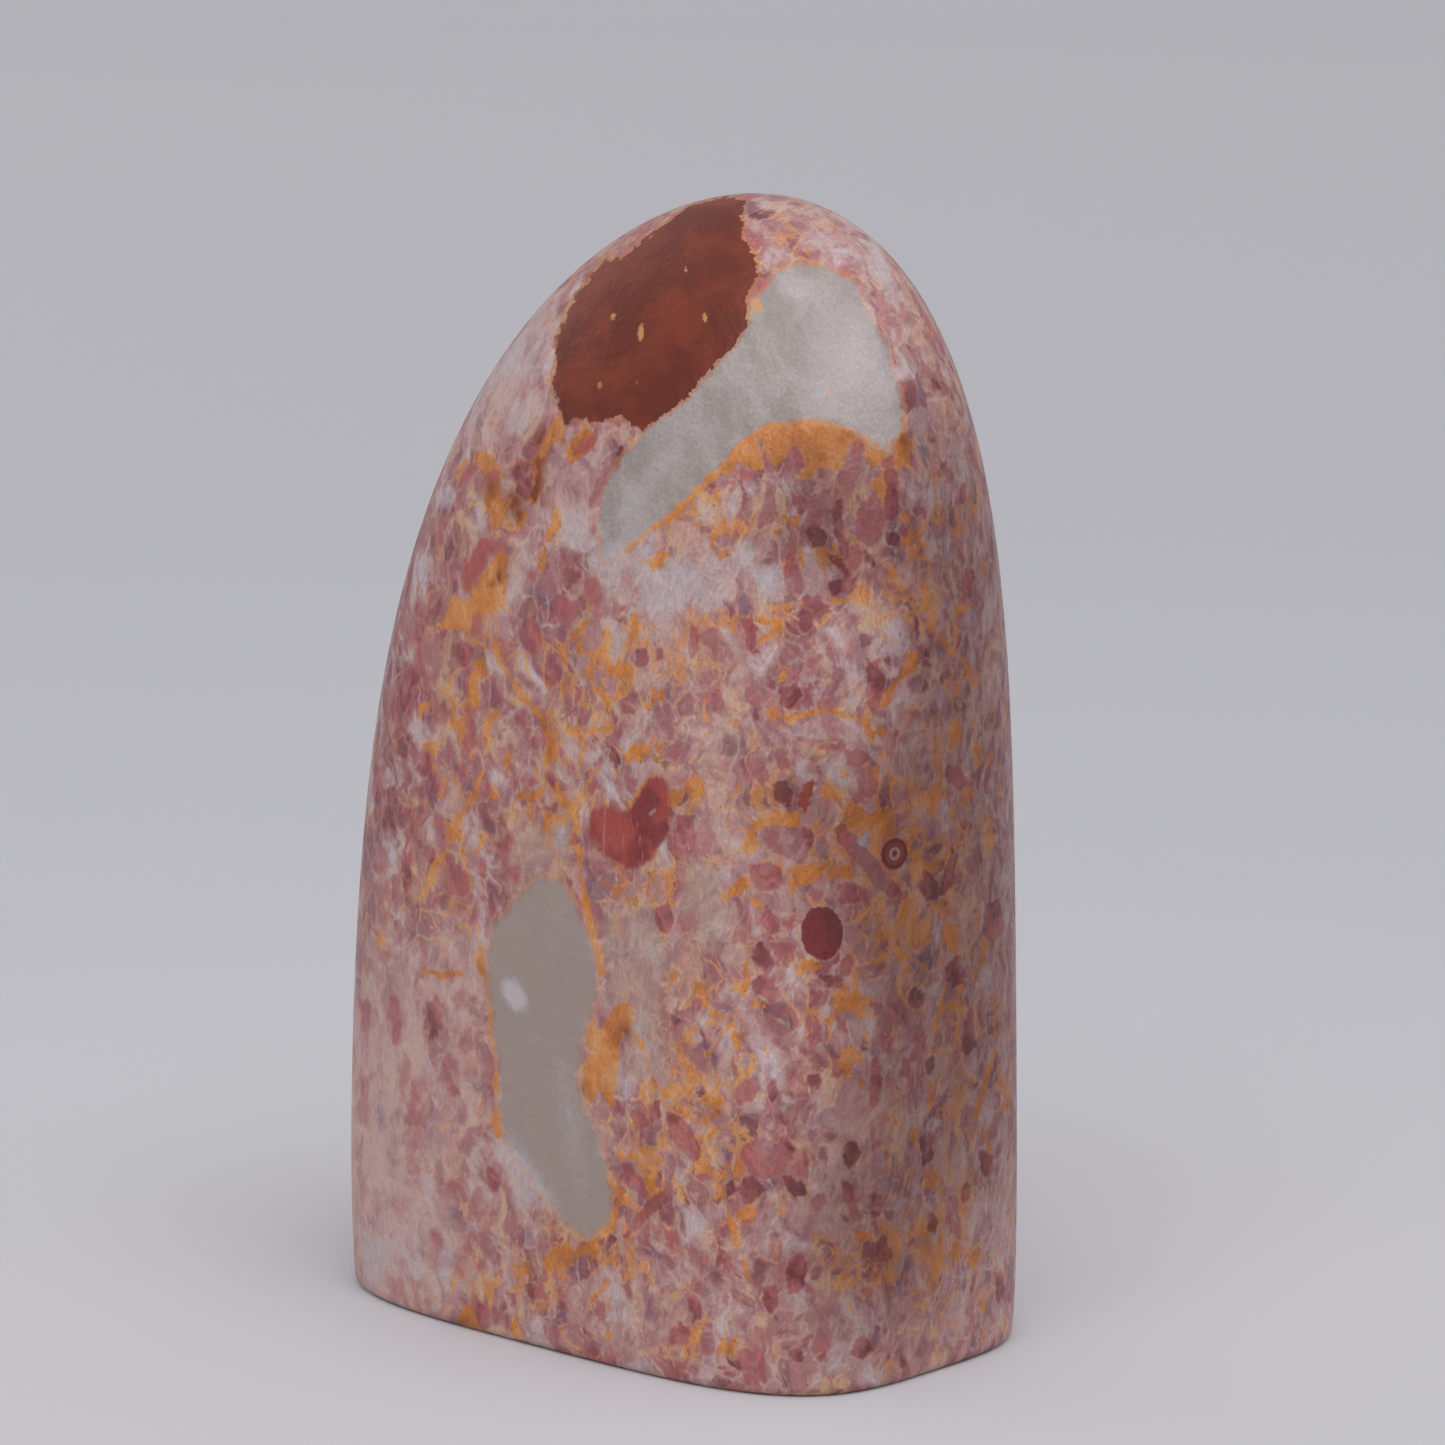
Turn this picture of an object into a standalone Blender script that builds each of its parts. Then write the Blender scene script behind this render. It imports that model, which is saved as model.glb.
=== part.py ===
"""A polished calcite freeform: one stone with a flat sawn base, two broad faces, two narrow
faces and a domed crown that leans to one side. Metres, +Z up, +X along the broad faces. The
origin is on the base, under the middle of the stone's bounding box.

Every level section is a superellipse, which is a rectangle with round corners near the base
and close to an ellipse at the crown.
"""

import math

import bpy
from mathutils import Vector

NAME = "calcite_freeform"

# Driving dimensions of the stone
HEIGHT = 0.110
HALF_WIDTH = 0.0343
HALF_DEPTH = 0.0205

# The arch: half size at height share h is the full one times (1 - h ** SWELL) ** (1 / CROWN)
WIDTH_SWELL = 4.33
WIDTH_CROWN = 1.98
DEPTH_SWELL = 4.87
DEPTH_CROWN = 2.09

# The section's exponent: 2 is an ellipse, and a higher one has squarer corners
BASE_EXPONENT = 3.7
CROWN_EXPONENT = 2.05

# The crown lies towards +X of the base's middle, by LEAN times h ** LEAN_POWER
LEAN = 0.0106
LEAN_POWER = 3.0

# The foot draws in a little towards the base, and its sawn edge is rounded by hand
FOOT_TAPER = 0.025
FOOT_REACH = 0.08
EDGE_RADIUS = 0.0010

# The mesh
SEGMENTS = 84
EDGE_RINGS = 4
WALL_RINGS = 52
OUTLINE_SAMPLES = 2880

STONE_COLOUR = (0.352, 0.196, 0.178, 1.0)
STONE_ROUGHNESS = 0.38


def superellipse(angle, exponent):
    """The point at this polar angle on the superellipse that fits a square of side 2."""
    across = math.cos(angle)
    along = math.sin(angle)
    reach = (abs(across) ** exponent + abs(along) ** exponent) ** (-1 / exponent)
    return reach * across, reach * along


def section(height, inset=0.0):
    """(middle's x, half width, half depth, exponent) of the level section at this height."""
    share = min(height / HEIGHT, 1.0)
    foot = 1 - FOOT_TAPER * math.exp(-share / FOOT_REACH)
    half_width = HALF_WIDTH * foot * (1 - share**WIDTH_SWELL) ** (1 / WIDTH_CROWN)
    half_depth = HALF_DEPTH * foot * (1 - share**DEPTH_SWELL) ** (1 / DEPTH_CROWN)
    exponent = BASE_EXPONENT + (CROWN_EXPONENT - BASE_EXPONENT) * share
    return LEAN * share**LEAN_POWER, half_width - inset, half_depth - inset, exponent


def even_angles():
    """Polar angles whose points lie evenly spaced round the base's outline."""
    _, half_width, half_depth, exponent = section(0)
    turns = [2 * math.pi * n / OUTLINE_SAMPLES for n in range(OUTLINE_SAMPLES + 1)]
    points = [superellipse(turn, exponent) for turn in turns]
    spots = [Vector((half_width * x, half_depth * y)) for x, y in points]
    walked = [0.0]
    for before, after in zip(spots, spots[1:]):
        walked.append(walked[-1] + (after - before).length)
    angles = []
    place = 0
    for n in range(SEGMENTS):
        wanted = walked[-1] * n / SEGMENTS
        while walked[place + 1] < wanted:
            place += 1
        share = (wanted - walked[place]) / (walked[place + 1] - walked[place])
        angles.append(turns[place] + share * (turns[place + 1] - turns[place]))
    return angles


def levels():
    """(height, inset) of each ring: the rounded foot edge, then the wall up to the crown."""
    rings = []
    for n in range(EDGE_RINGS):
        turn = math.pi / 2 * n / EDGE_RINGS
        rings.append((EDGE_RADIUS * (1 - math.cos(turn)), EDGE_RADIUS * (1 - math.sin(turn))))
    for n in range(WALL_RINGS):
        share = math.sin(math.pi / 2 * n / WALL_RINGS)
        rings.append((EDGE_RADIUS + (HEIGHT - EDGE_RADIUS) * share, 0.0))
    return rings


def ring_points(height, inset, angles):
    """The points of one level section."""
    middle, half_width, half_depth, exponent = section(height, inset)
    points = [superellipse(angle, exponent) for angle in angles]
    return [Vector((middle + half_width * x, half_depth * y, height)) for x, y in points]


def stone_mesh():
    """The closed mesh of the stone, with its bounding box centred on the origin."""
    angles = even_angles()
    rings = [ring_points(height, inset, angles) for height, inset in levels()]
    crown = Vector((LEAN, 0.0, HEIGHT))
    points = [point for ring in rings for point in ring] + [crown]

    lowest = min(point.x for point in points)
    highest = max(point.x for point in points)
    shift = Vector(((lowest + highest) / 2, 0, 0))

    faces = [tuple(reversed(range(SEGMENTS)))]
    for level in range(len(rings) - 1):
        low = level * SEGMENTS
        high = low + SEGMENTS
        for n in range(SEGMENTS):
            after = (n + 1) % SEGMENTS
            faces.append((low + n, low + after, high + after, high + n))
    last = (len(rings) - 1) * SEGMENTS
    for n in range(SEGMENTS):
        faces.append((last + n, last + (n + 1) % SEGMENTS, len(points) - 1))

    mesh = bpy.data.meshes.new(NAME)
    mesh.from_pydata([point - shift for point in points], [], faces)
    mesh.shade_smooth()
    mesh.set_sharp_from_angle(angle=math.radians(40))
    return mesh


def stone_material():
    """The stone's mean colour and its hand-polished gloss."""
    material = bpy.data.materials.new("polished_calcite")
    material.use_nodes = True
    shader = material.node_tree.nodes["Principled BSDF"]
    shader.inputs["Base Color"].default_value = STONE_COLOUR
    shader.inputs["Roughness"].default_value = STONE_ROUGHNESS
    shader.inputs["Metallic"].default_value = 0.0
    return material


def main():
    for old in list(bpy.data.objects):
        bpy.data.objects.remove(old)
    stone = bpy.data.objects.new(NAME, stone_mesh())
    stone.data.materials.append(stone_material())
    bpy.context.scene.collection.objects.link(stone)


main()
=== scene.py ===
"""The looks of a polished strawberry calcite freeform: one upright stone of cemented
fragments, standing on a pale studio floor. Metres, +Z up, in the frame of the part.

The stone is one mesh. Its larger markings are placed by pixels of the 1445 x 1445 photograph
and laid on the mesh as distances and weights, one number per vertex. The material turns them
into ragged-edged patches and fills the rest with fine fragments, veins and grain.
"""

import math

import bpy
import numpy as np
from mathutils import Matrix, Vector


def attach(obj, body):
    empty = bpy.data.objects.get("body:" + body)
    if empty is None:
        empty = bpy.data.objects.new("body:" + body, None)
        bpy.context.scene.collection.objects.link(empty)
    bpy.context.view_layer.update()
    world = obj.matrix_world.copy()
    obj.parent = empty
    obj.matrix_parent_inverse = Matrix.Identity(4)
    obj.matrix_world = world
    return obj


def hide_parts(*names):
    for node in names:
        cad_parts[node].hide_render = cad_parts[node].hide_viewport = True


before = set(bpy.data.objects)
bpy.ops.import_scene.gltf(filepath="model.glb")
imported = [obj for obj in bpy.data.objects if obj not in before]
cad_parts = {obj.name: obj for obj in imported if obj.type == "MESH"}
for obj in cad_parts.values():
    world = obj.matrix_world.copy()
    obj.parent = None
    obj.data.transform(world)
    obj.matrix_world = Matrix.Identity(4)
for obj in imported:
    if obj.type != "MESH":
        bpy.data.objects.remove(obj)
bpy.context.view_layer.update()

# Camera, fitted to the stone's outline in the photograph
PHOTO_SIDE = 1445
FOCAL_PX = 6338.1
SENSOR_MM = 36.0
CAMERA_AZIMUTH = math.radians(42.554)
CAMERA_REACH = 0.600
CAMERA_HEIGHT = 0.1719
AIM_HEIGHT = 0.05825
AIM_TO_RIGHT = 0.00428
MM_PER_PX = 0.0912

# Markings are measured up to this many pixels away from them
FAR = 24.0

# A side's soft markings fade in from the first of these facing values, over the second.
# Its sharp ones start to shrink where it faces less than EDGE_ON. They have shrunk by CLOSING
# pixels where it is edge on, and by more beyond that, so none show on the far side.
SEEN_FROM = 0.02
SEEN_OVER = 0.12
EDGE_ON = 0.06
CLOSING = 40

# An oval's soft weight falls to 1/e at this many times its half sizes, and this steeply
OVAL_REACH = 1.1
OVAL_FALL = 2.2

# The photograph is out of focus left of the first pixel column, fading in over the second
SHARP_FROM = 640
SHARP_OVER = 200

# What the unseen side has of these weights everywhere
UNSEEN_FOG = 0.15
UNSEEN_OCHRE = 0.1
UNSEEN_DARK = 0.3
UNSEEN_COOL = 0.3

# Where the back's markings lie, in pixels: mirrored about half of this, and moved up
BACK_MIRROR = 1390
BACK_RISE = 90

# Driving dimensions of the stone, as in the part's source
HEIGHT = 0.110
HALF_WIDTH = 0.0343
HALF_DEPTH = 0.0205
WIDTH_SWELL = 4.33
WIDTH_CROWN = 1.98
DEPTH_SWELL = 4.87
DEPTH_CROWN = 2.09
BASE_EXPONENT = 3.7
CROWN_EXPONENT = 2.05
LEAN = 0.0106
LEAN_POWER = 3.0
FOOT_TAPER = 0.025
FOOT_REACH = 0.08
EDGE_RADIUS = 0.0010

# The mesh is finer towards the camera, and stays under 200,000 triangles. FINE_SIDE_TURN is
# how suddenly it gets finer on the way round.
SEGMENTS = 300
WALL_RINGS = 316
BASE_RINGS = 12
FINE_SIDE_WEIGHT = 2.6
FINE_SIDE_TURN = 6
OUTLINE_SAMPLES = 4000
EDGE_SAMPLES = 60

PIECE = "calcite_freeform_polished"

# The sky's strength, and the way to its brighter side
BRIGHT_SIDE = (0.75, -0.10, 0.65)
SKY_LOW = 0.25
SKY_HIGH = 0.75

# How far the thin ochre web spreads outside its thicker zones
WEB_EVERYWHERE = 0.13

# The stage, in metres, and the number of sides it has
FLOOR_REACH = 1.6
FLOOR_BEND = 0.6
FLOOR_SIDES = 96

# name, azimuth and elevation in degrees, distance, side and power
SOFTBOXES = [
    ("key", 75, 48, 1.4, 1.2, 5.5),
    ("front", 20, 42, 1.6, 1.2, 5.5),
    ("left", -80, 30, 1.6, 1.2, 2.0),
]
SKY_COLOUR = (0.97, 0.97, 1.0, 1.0)

# The polish: its roughness, how much rougher the sawn base is, and its fine relief
ROUGHNESS_LOW = 0.34
ROUGHNESS_HIGH = 0.46
SAWN_ROUGHNESS = 0.35
RELIEF_STRENGTH = 0.18
RELIEF_DEPTH = 0.0010
STONE_IOR = 1.4
FLOOR_ROUGHNESS = 0.9


def unit(vector):
    """The vector, or each row of an array of them, at length 1."""
    vector = np.asarray(vector, float)
    return vector / np.linalg.norm(vector, axis=-1, keepdims=True)


class PhotoCamera:
    """Where the photograph was taken from, and where each point falls in it."""

    def __init__(self, middle_x):
        away = np.array((math.sin(CAMERA_AZIMUTH), -math.cos(CAMERA_AZIMUTH), 0.0))
        self.place = CAMERA_REACH * away + (middle_x, 0.0, CAMERA_HEIGHT)
        aim = np.array((middle_x, 0.0, AIM_HEIGHT))
        level = unit(np.cross(unit(aim - self.place), (0.0, 0.0, 1.0)))
        self.forward = unit(aim + AIM_TO_RIGHT * level - self.place)
        self.right = unit(np.cross(self.forward, (0.0, 0.0, 1.0)))
        self.up = np.cross(self.right, self.forward)

    def pixels(self, points):
        """The photograph's pixel of each point."""
        seen = points - self.place
        depth = seen @ self.forward
        across = PHOTO_SIDE / 2 + FOCAL_PX * (seen @ self.right) / depth
        down = PHOTO_SIDE / 2 - FOCAL_PX * (seen @ self.up) / depth
        return np.stack((across, down), axis=1)

    def facing(self, points, normals):
        """1 where the surface faces the camera square on, 0 where it is edge on."""
        return np.sum(normals * unit(self.place - points), axis=1)

    def point_at(self, pixel, points, normals):
        """The vertex, on the side that the camera sees, nearest to this pixel."""
        off = np.linalg.norm(self.pixels(points) - pixel, axis=1)
        off[self.facing(points, normals) < 0] = np.inf
        return tuple(float(v) for v in points[np.argmin(off)])

    def make(self):
        data = bpy.data.cameras.new("photo_camera")
        data.sensor_width = SENSOR_MM
        data.lens = FOCAL_PX * SENSOR_MM / PHOTO_SIDE
        camera = bpy.data.objects.new("photo_camera", data)
        camera.location = self.place
        camera.rotation_mode = "QUATERNION"
        camera.rotation_quaternion = Vector(self.forward).to_track_quat("-Z", "Y")
        bpy.context.scene.collection.objects.link(camera)
        bpy.context.scene.camera = camera


# The stone's shape


def superellipse(angle, exponent):
    """Points at these polar angles on the superellipse that fits a square of side 2."""
    across = np.cos(angle)
    along = np.sin(angle)
    reach = (np.abs(across) ** exponent + np.abs(along) ** exponent) ** (-1 / exponent)
    return reach * across, reach * along


def section(height, inset=0.0):
    """(middle's x, half width, half depth, exponent) of the level section at this height."""
    share = min(height / HEIGHT, 1.0)
    foot = 1 - FOOT_TAPER * math.exp(-share / FOOT_REACH)
    half_width = HALF_WIDTH * foot * (1 - share**WIDTH_SWELL) ** (1 / WIDTH_CROWN)
    half_depth = HALF_DEPTH * foot * (1 - share**DEPTH_SWELL) ** (1 / DEPTH_CROWN)
    exponent = BASE_EXPONENT + (CROWN_EXPONENT - BASE_EXPONENT) * share
    return LEAN * share**LEAN_POWER, half_width - inset, half_depth - inset, exponent


def even_angles():
    """Polar angles round the base's outline, closer together on the camera's side."""
    _, half_width, half_depth, exponent = section(0)
    turns = np.linspace(0, 2 * np.pi, OUTLINE_SAMPLES + 1)
    x, y = superellipse(turns, exponent)
    steps = np.hypot(np.diff(half_width * x), np.diff(half_depth * y))
    middles = (turns[1:] + turns[:-1]) / 2
    towards = np.cos(middles - (CAMERA_AZIMUTH - np.pi / 2))
    steps = steps * (1 + FINE_SIDE_WEIGHT / (1 + np.exp(-FINE_SIDE_TURN * towards)))
    walked = np.concatenate(([0.0], np.cumsum(steps)))
    wanted = walked[-1] * np.arange(SEGMENTS) / SEGMENTS
    return np.interp(wanted, walked, turns)


def levels():
    """(height, inset) of each ring from the foot edge up, evenly spaced along the wall."""
    edge = np.linspace(0, np.pi / 2, EDGE_SAMPLES)
    heights = list(EDGE_RADIUS * (1 - np.cos(edge)))
    insets = list(EDGE_RADIUS * (1 - np.sin(edge)))
    wall = np.sin(np.linspace(0, np.pi / 2, OUTLINE_SAMPLES))[1:]
    heights += list(EDGE_RADIUS + (HEIGHT - EDGE_RADIUS) * wall)
    insets += [0.0] * len(wall)
    reaches = [section(h, i)[1] for h, i in zip(heights, insets)]
    walked = np.concatenate(([0.0], np.cumsum(np.hypot(np.diff(heights), np.diff(reaches)))))
    wanted = walked[-1] * np.arange(WALL_RINGS) / WALL_RINGS
    return list(zip(np.interp(wanted, walked, heights), np.interp(wanted, walked, insets)))


def stone_points():
    """(points, rings, shift): the vertices from the base's middle to the crown, how many rings
    they make, and how far they were moved in x to centre the stone."""
    angles = even_angles()
    wall = levels()
    rings = []
    for n in range(1, BASE_RINGS + 1):
        share = n / (BASE_RINGS + 1)
        _, half_width, half_depth, exponent = section(0.0, EDGE_RADIUS)
        x, y = superellipse(angles, exponent)
        rings.append((share * half_width * x, share * half_depth * y, 0.0 * x))
    for height, inset in wall:
        middle, half_width, half_depth, exponent = section(height, inset)
        x, y = superellipse(angles, exponent)
        rings.append((middle + half_width * x, half_depth * y, 0.0 * x + height))
    points = [np.stack(ring, axis=1) for ring in rings]
    points = np.concatenate(([[0.0, 0.0, 0.0]], *points, [[LEAN, 0.0, HEIGHT]]))
    shift = (points[:, 0].min() + points[:, 0].max()) / 2
    points[:, 0] -= shift
    return points, len(rings), shift


def stone_faces(rings):
    """Quads between the rings, and fans at the middle of the base and at the crown."""
    crown = 1 + rings * SEGMENTS
    faces = []
    for n in range(SEGMENTS):
        after = (n + 1) % SEGMENTS
        faces.append((0, 1 + after, 1 + n))
    for level in range(rings - 1):
        low = 1 + level * SEGMENTS
        high = low + SEGMENTS
        for n in range(SEGMENTS):
            after = (n + 1) % SEGMENTS
            faces.append((low + n, low + after, high + after, high + n))
    last = 1 + (rings - 1) * SEGMENTS
    for n in range(SEGMENTS):
        faces.append((last + n, last + (n + 1) % SEGMENTS, crown))
    return faces


def stone_mesh():
    points, rings, shift = stone_points()
    mesh = bpy.data.meshes.new(PIECE)
    mesh.from_pydata(points.tolist(), [], stone_faces(rings))
    mesh.shade_smooth()
    return mesh, shift


def vertex_arrays(mesh):
    """(points, normals) of the mesh's vertices."""
    points = np.empty(len(mesh.vertices) * 3, np.float32)
    mesh.vertices.foreach_get("co", points)
    normals = np.empty(len(mesh.vertices) * 3, np.float32)
    mesh.vertex_normals.foreach_get("vector", normals)
    return points.reshape(-1, 3).astype(float), normals.reshape(-1, 3).astype(float)


# Distances and weights on the surface


def near_box(spots, corners, reach):
    """Which spots lie within this reach of the box round some points."""
    corners = np.asarray(corners, float)
    above = spots > corners.min(axis=0) - reach
    below = spots < corners.max(axis=0) + reach
    return np.all(above & below, axis=1)


def outline_distance(spots, corners):
    """Signed distance from each spot to a closed outline, negative inside, up to FAR."""
    corners = np.asarray(corners, float)
    near = near_box(spots, corners, FAR)
    found = np.full(len(spots), FAR, float)
    close = spots[near]
    nearest = np.full(len(close), FAR, float)
    inside = np.zeros(len(close), bool)
    for start, end in zip(corners, np.roll(corners, -1, axis=0)):
        nearest = np.minimum(nearest, line_distance(close, start, end))
        crosses = (start[1] > close[:, 1]) != (end[1] > close[:, 1])
        slope = (end[0] - start[0]) / (end[1] - start[1] + 1e-12)
        inside ^= crosses & (close[:, 0] < start[0] + slope * (close[:, 1] - start[1]))
    found[near] = np.where(inside, -nearest, nearest)
    return found


def line_distance(spots, start, end):
    """Distance from each spot to the stretch between two points."""
    start = np.asarray(start, float)
    along = np.asarray(end, float) - start
    share = np.clip((spots - start) @ along / (along @ along), 0, 1)
    return np.linalg.norm(spots - start - share[:, None] * along, axis=1)


def path_distance(spots, width, path):
    """Signed distance to a band of this half width along a path, negative inside, up to FAR."""
    near = near_box(spots, path, FAR + width)
    found = np.full(len(spots), FAR, float)
    stretches = [line_distance(spots[near], a, b) for a, b in zip(path, path[1:])]
    found[near] = np.minimum(np.min(stretches, axis=0) - width, FAR)
    return found


def oval_share(spots, x, y, half_width, half_height, lean):
    """Distance from an oval's middle as a share of its size; lean turns its top to the right."""
    turn = math.radians(lean)
    off = spots - (x, y)
    across = off[:, 0] * math.cos(turn) + off[:, 1] * math.sin(turn)
    along = -off[:, 0] * math.sin(turn) + off[:, 1] * math.cos(turn)
    return np.hypot(across / half_width, along / half_height)


def oval_distance(spots, x, y, half_width, half_height, lean=0):
    """Signed distance to an oval, negative inside."""
    share = oval_share(spots, x, y, half_width, half_height, lean)
    return (share - 1) * min(half_width, half_height)


# Markings, in pixels of the photograph

BRICK_OUTLINE = [
    (690, 205), (722, 196), (745, 201), (742, 222), (743, 240), (752, 250), (757, 262), (757, 280),
    (748, 293), (747, 308), (746, 325), (735, 345), (718, 360), (703, 376), (685, 400), (668, 412),
    (655, 420), (643, 429), (632, 425), (622, 415), (605, 421), (590, 421), (578, 418), (565, 425),
    (559, 408), (553, 385), (556, 362), (555, 342), (562, 325), (573, 300), (590, 277), (602, 262),
    (624, 258), (636, 246), (650, 236), (672, 218),
]
PALE_FLECKS = [
    (641, 332, 3, 9, 8), (705, 318, 2, 4, 0), (613, 316, 2, 3, 0), (600, 385, 2, 3, 0),
    (757, 306, 5, 8, 0), (830, 391, 3, 3, 0), (637, 384, 1, 3, 0), (686, 268, 1, 3, 0),
]

UPPER_GREY_OUTLINE = [
    (604, 562), (598, 525), (604, 490), (618, 465), (636, 442), (656, 420), (682, 402), (704, 376),
    (732, 350), (747, 325), (752, 306), (764, 292), (776, 272), (800, 264), (832, 270), (856, 285),
    (870, 318), (888, 350), (900, 395), (904, 428), (885, 447), (862, 434), (838, 424), (800, 418),
    (765, 424), (740, 440), (716, 468), (690, 495), (655, 524), (630, 545),
]
LOWER_GREY_OUTLINE = [
    (506, 912), (522, 892), (540, 878), (560, 880), (574, 900), (586, 932), (595, 965), (597, 992),
    (590, 1018), (581, 1045), (577, 1085), (586, 1112), (598, 1140), (607, 1170), (612, 1200),
    (606, 1226), (588, 1238), (568, 1228), (552, 1206), (534, 1180), (512, 1152), (502, 1125),
    (498, 1060), (490, 1000), (488, 955), (494, 928),
]
# x, y, half width, half height, lean and strength
WHITE_OVALS = [
    (848, 365, 46, 66, -10, 1.0), (795, 287, 17, 13, 0, 1.0), (650, 480, 14, 50, 40, 0.6),
    (735, 390, 25, 30, 40, 0.4), (514, 995, 8, 14, -30, 2.4), (570, 1120, 14, 80, -10, 0.5),
    (560, 915, 20, 30, 0, 0.3), (575, 440, 10, 14, 0, 0.6), (450, 500, 8, 14, 0, 0.7),
    (575, 530, 12, 22, 0, 0.8), (655, 600, 25, 14, -20, 0.9), (690, 590, 40, 16, 0, 0.7),
    (708, 605, 10, 10, 0, 1.0), (755, 485, 11, 18, 10, 1.0), (775, 580, 12, 14, 20, 1.0),
    (700, 520, 30, 16, -30, 0.7), (840, 775, 18, 10, 30, 1.2), (805, 705, 10, 9, 0, 0.9),
    (750, 560, 24, 24, 0, 0.5), (800, 775, 6, 16, 0, 0.8), (755, 930, 6, 12, 0, 0.8),
    (868, 990, 16, 9, 0, 0.8), (992, 965, 10, 20, 10, 0.6), (722, 1060, 6, 22, -40, 0.4),
    (772, 1193, 14, 7, 0, 0.9), (808, 1295, 10, 5, 0, 0.9), (888, 1195, 8, 17, 0, 0.7),
    (523, 1180, 17, 52, -33, 1.2), (376, 1262, 11, 22, 0, 0.9), (434, 1308, 8, 6, 0, 1.0),
    (446, 1258, 7, 5, 0, 0.8), (642, 1366, 20, 8, 0, 0.8), (572, 718, 9, 6, 0, 0.8),
    (888, 680, 7, 12, -20, 0.9), (630, 742, 18, 10, 0, 0.5), (700, 760, 12, 26, 0, 0.5),
    (640, 560, 14, 6, 20, 0.6), (614, 558, 26, 16, -30, 1.1), (586, 545, 12, 22, 0, 0.6),
    (858, 705, 10, 12, 0, 0.3), (925, 830, 14, 12, 0, 0.5), (522, 350, 34, 70, 30, 1.0),
    (680, 572, 58, 24, -10, 1.0), (410, 1245, 50, 44, 0, 0.7), (446, 500, 6, 14, 20, 0.8),
    (567, 532, 9, 14, 0, 0.9), (530, 560, 8, 12, 0, 0.7), (517, 578, 14, 32, 0, 0.7),
    (520, 420, 16, 22, 0, 0.7), (820, 240, 40, 12, 20, 0.6), (880, 270, 14, 40, -25, 0.6),
    (785, 490, 7, 14, 0, 0.7),
]
# Pale veils; along the left edge and the top, partly a painted reflection of the bright
# surroundings
FOG_AND_SHEEN_OVALS = [
    (520, 370, 50, 80, 30, 1.0), (575, 500, 28, 60, 10, 0.7), (700, 578, 70, 34, -12, 0.8),
    (372, 1090, 40, 190, 0, 0.7), (430, 1080, 60, 130, 0, 0.7), (400, 1250, 60, 60, 0, 0.9),
    (715, 730, 30, 70, 0, 0.6), (780, 1025, 45, 24, 0, 0.4), (850, 1110, 22, 34, 0, 0.8),
    (810, 225, 90, 26, 10, 0.5), (890, 300, 24, 90, -20, 0.6), (985, 1240, 30, 50, 0, 0.6),
    (860, 625, 50, 24, 0, 0.3), (640, 1340, 40, 24, 0, 0.6), (730, 850, 40, 50, 0, 0.7),
    (520, 580, 14, 30, 0, 0.8), (655, 690, 26, 40, 0, 0.4), (440, 960, 30, 50, 0, 0.4),
    (820, 1230, 60, 60, 0, 0.4), (560, 1200, 50, 100, 0, 0.4), (700, 1300, 70, 40, 0, 0.3),
    (850, 730, 40, 18, 10, 0.6), (670, 640, 60, 40, 0, 0.4), (940, 1330, 50, 30, 0, 0.6),
    (940, 740, 30, 24, 0, 0.4),
]
CALM_OVALS = [
    (700, 890, 24, 52, 0, 1.0), (640, 1010, 34, 50, 0, 1.0), (535, 855, 34, 34, 0, 1.0),
    (632, 940, 30, 50, 0, 0.9), (655, 1060, 22, 30, 0, 0.6), (735, 950, 28, 26, 0, 0.6),
    (625, 1340, 24, 18, 0, 0.7), (850, 1120, 18, 40, 0, 0.6),
]
OCHRE_OVALS = [
    (698, 498, 60, 24, 38, 1.1), (480, 600, 38, 34, 30, 0.6), (480, 465, 34, 16, 0, 0.5),
    (505, 505, 22, 30, 20, 0.5), (620, 650, 80, 34, 0, 0.6), (700, 620, 30, 24, 0, 0.7),
    (690, 650, 14, 40, 20, 0.6), (760, 615, 40, 14, 0, 0.7), (820, 620, 30, 14, 0, 0.5),
    (880, 840, 60, 60, 0, 0.7), (840, 1000, 50, 50, 0, 0.5), (610, 700, 40, 40, 0, 0.5),
    (600, 1250, 50, 22, 15, 0.6), (690, 1110, 50, 90, -20, 0.5), (470, 730, 40, 90, 10, 0.5),
    (560, 790, 30, 90, 0, 0.5), (945, 700, 40, 100, 0, 0.3), (960, 1000, 40, 250, 0, 0.4),
    (500, 1300, 60, 26, 10, 0.5), (770, 870, 60, 40, 0, 0.6), (650, 880, 40, 40, 0, 0.5),
    (700, 960, 30, 60, 0, 0.3), (915, 560, 40, 60, 20, 0.5), (440, 900, 30, 60, 0, 0.5),
    (700, 1340, 50, 24, 0, 0.4), (790, 245, 40, 16, 10, 0.5), (540, 300, 22, 50, 35, 0.4),
    (900, 450, 20, 30, 0, 0.5), (930, 1250, 50, 60, 0, 0.5), (740, 780, 60, 40, 0, 0.4),
    (700, 1080, 30, 50, 0, 0.4), (900, 930, 40, 40, 0, 0.6), (550, 1270, 70, 20, 0, 0.4),
    (640, 1180, 30, 60, 0, 0.5), (740, 1170, 30, 24, 0, 0.4), (860, 1260, 60, 40, 0, 0.4),
]
# Painted shade on the right-hand side, partly also the stone's own darker, browner colour there
SHADE_AND_DARK_OVALS = [
    (955, 640, 70, 240, 0, 0.8), (820, 520, 70, 75, 0, 0.78), (935, 470, 50, 110, -10, 0.2),
    (960, 1050, 90, 260, 0, 0.9), (385, 760, 24, 200, 5, 0.2), (880, 900, 70, 140, 0, 0.6),
    (880, 1240, 60, 140, 0, 0.5), (825, 1230, 50, 180, 0, 0.35), (815, 446, 70, 24, 0, 0.15),
    (560, 830, 20, 40, 0, 0.3), (790, 800, 60, 90, 0, 0.4), (780, 1250, 50, 80, 0, 0.2),
]
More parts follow.
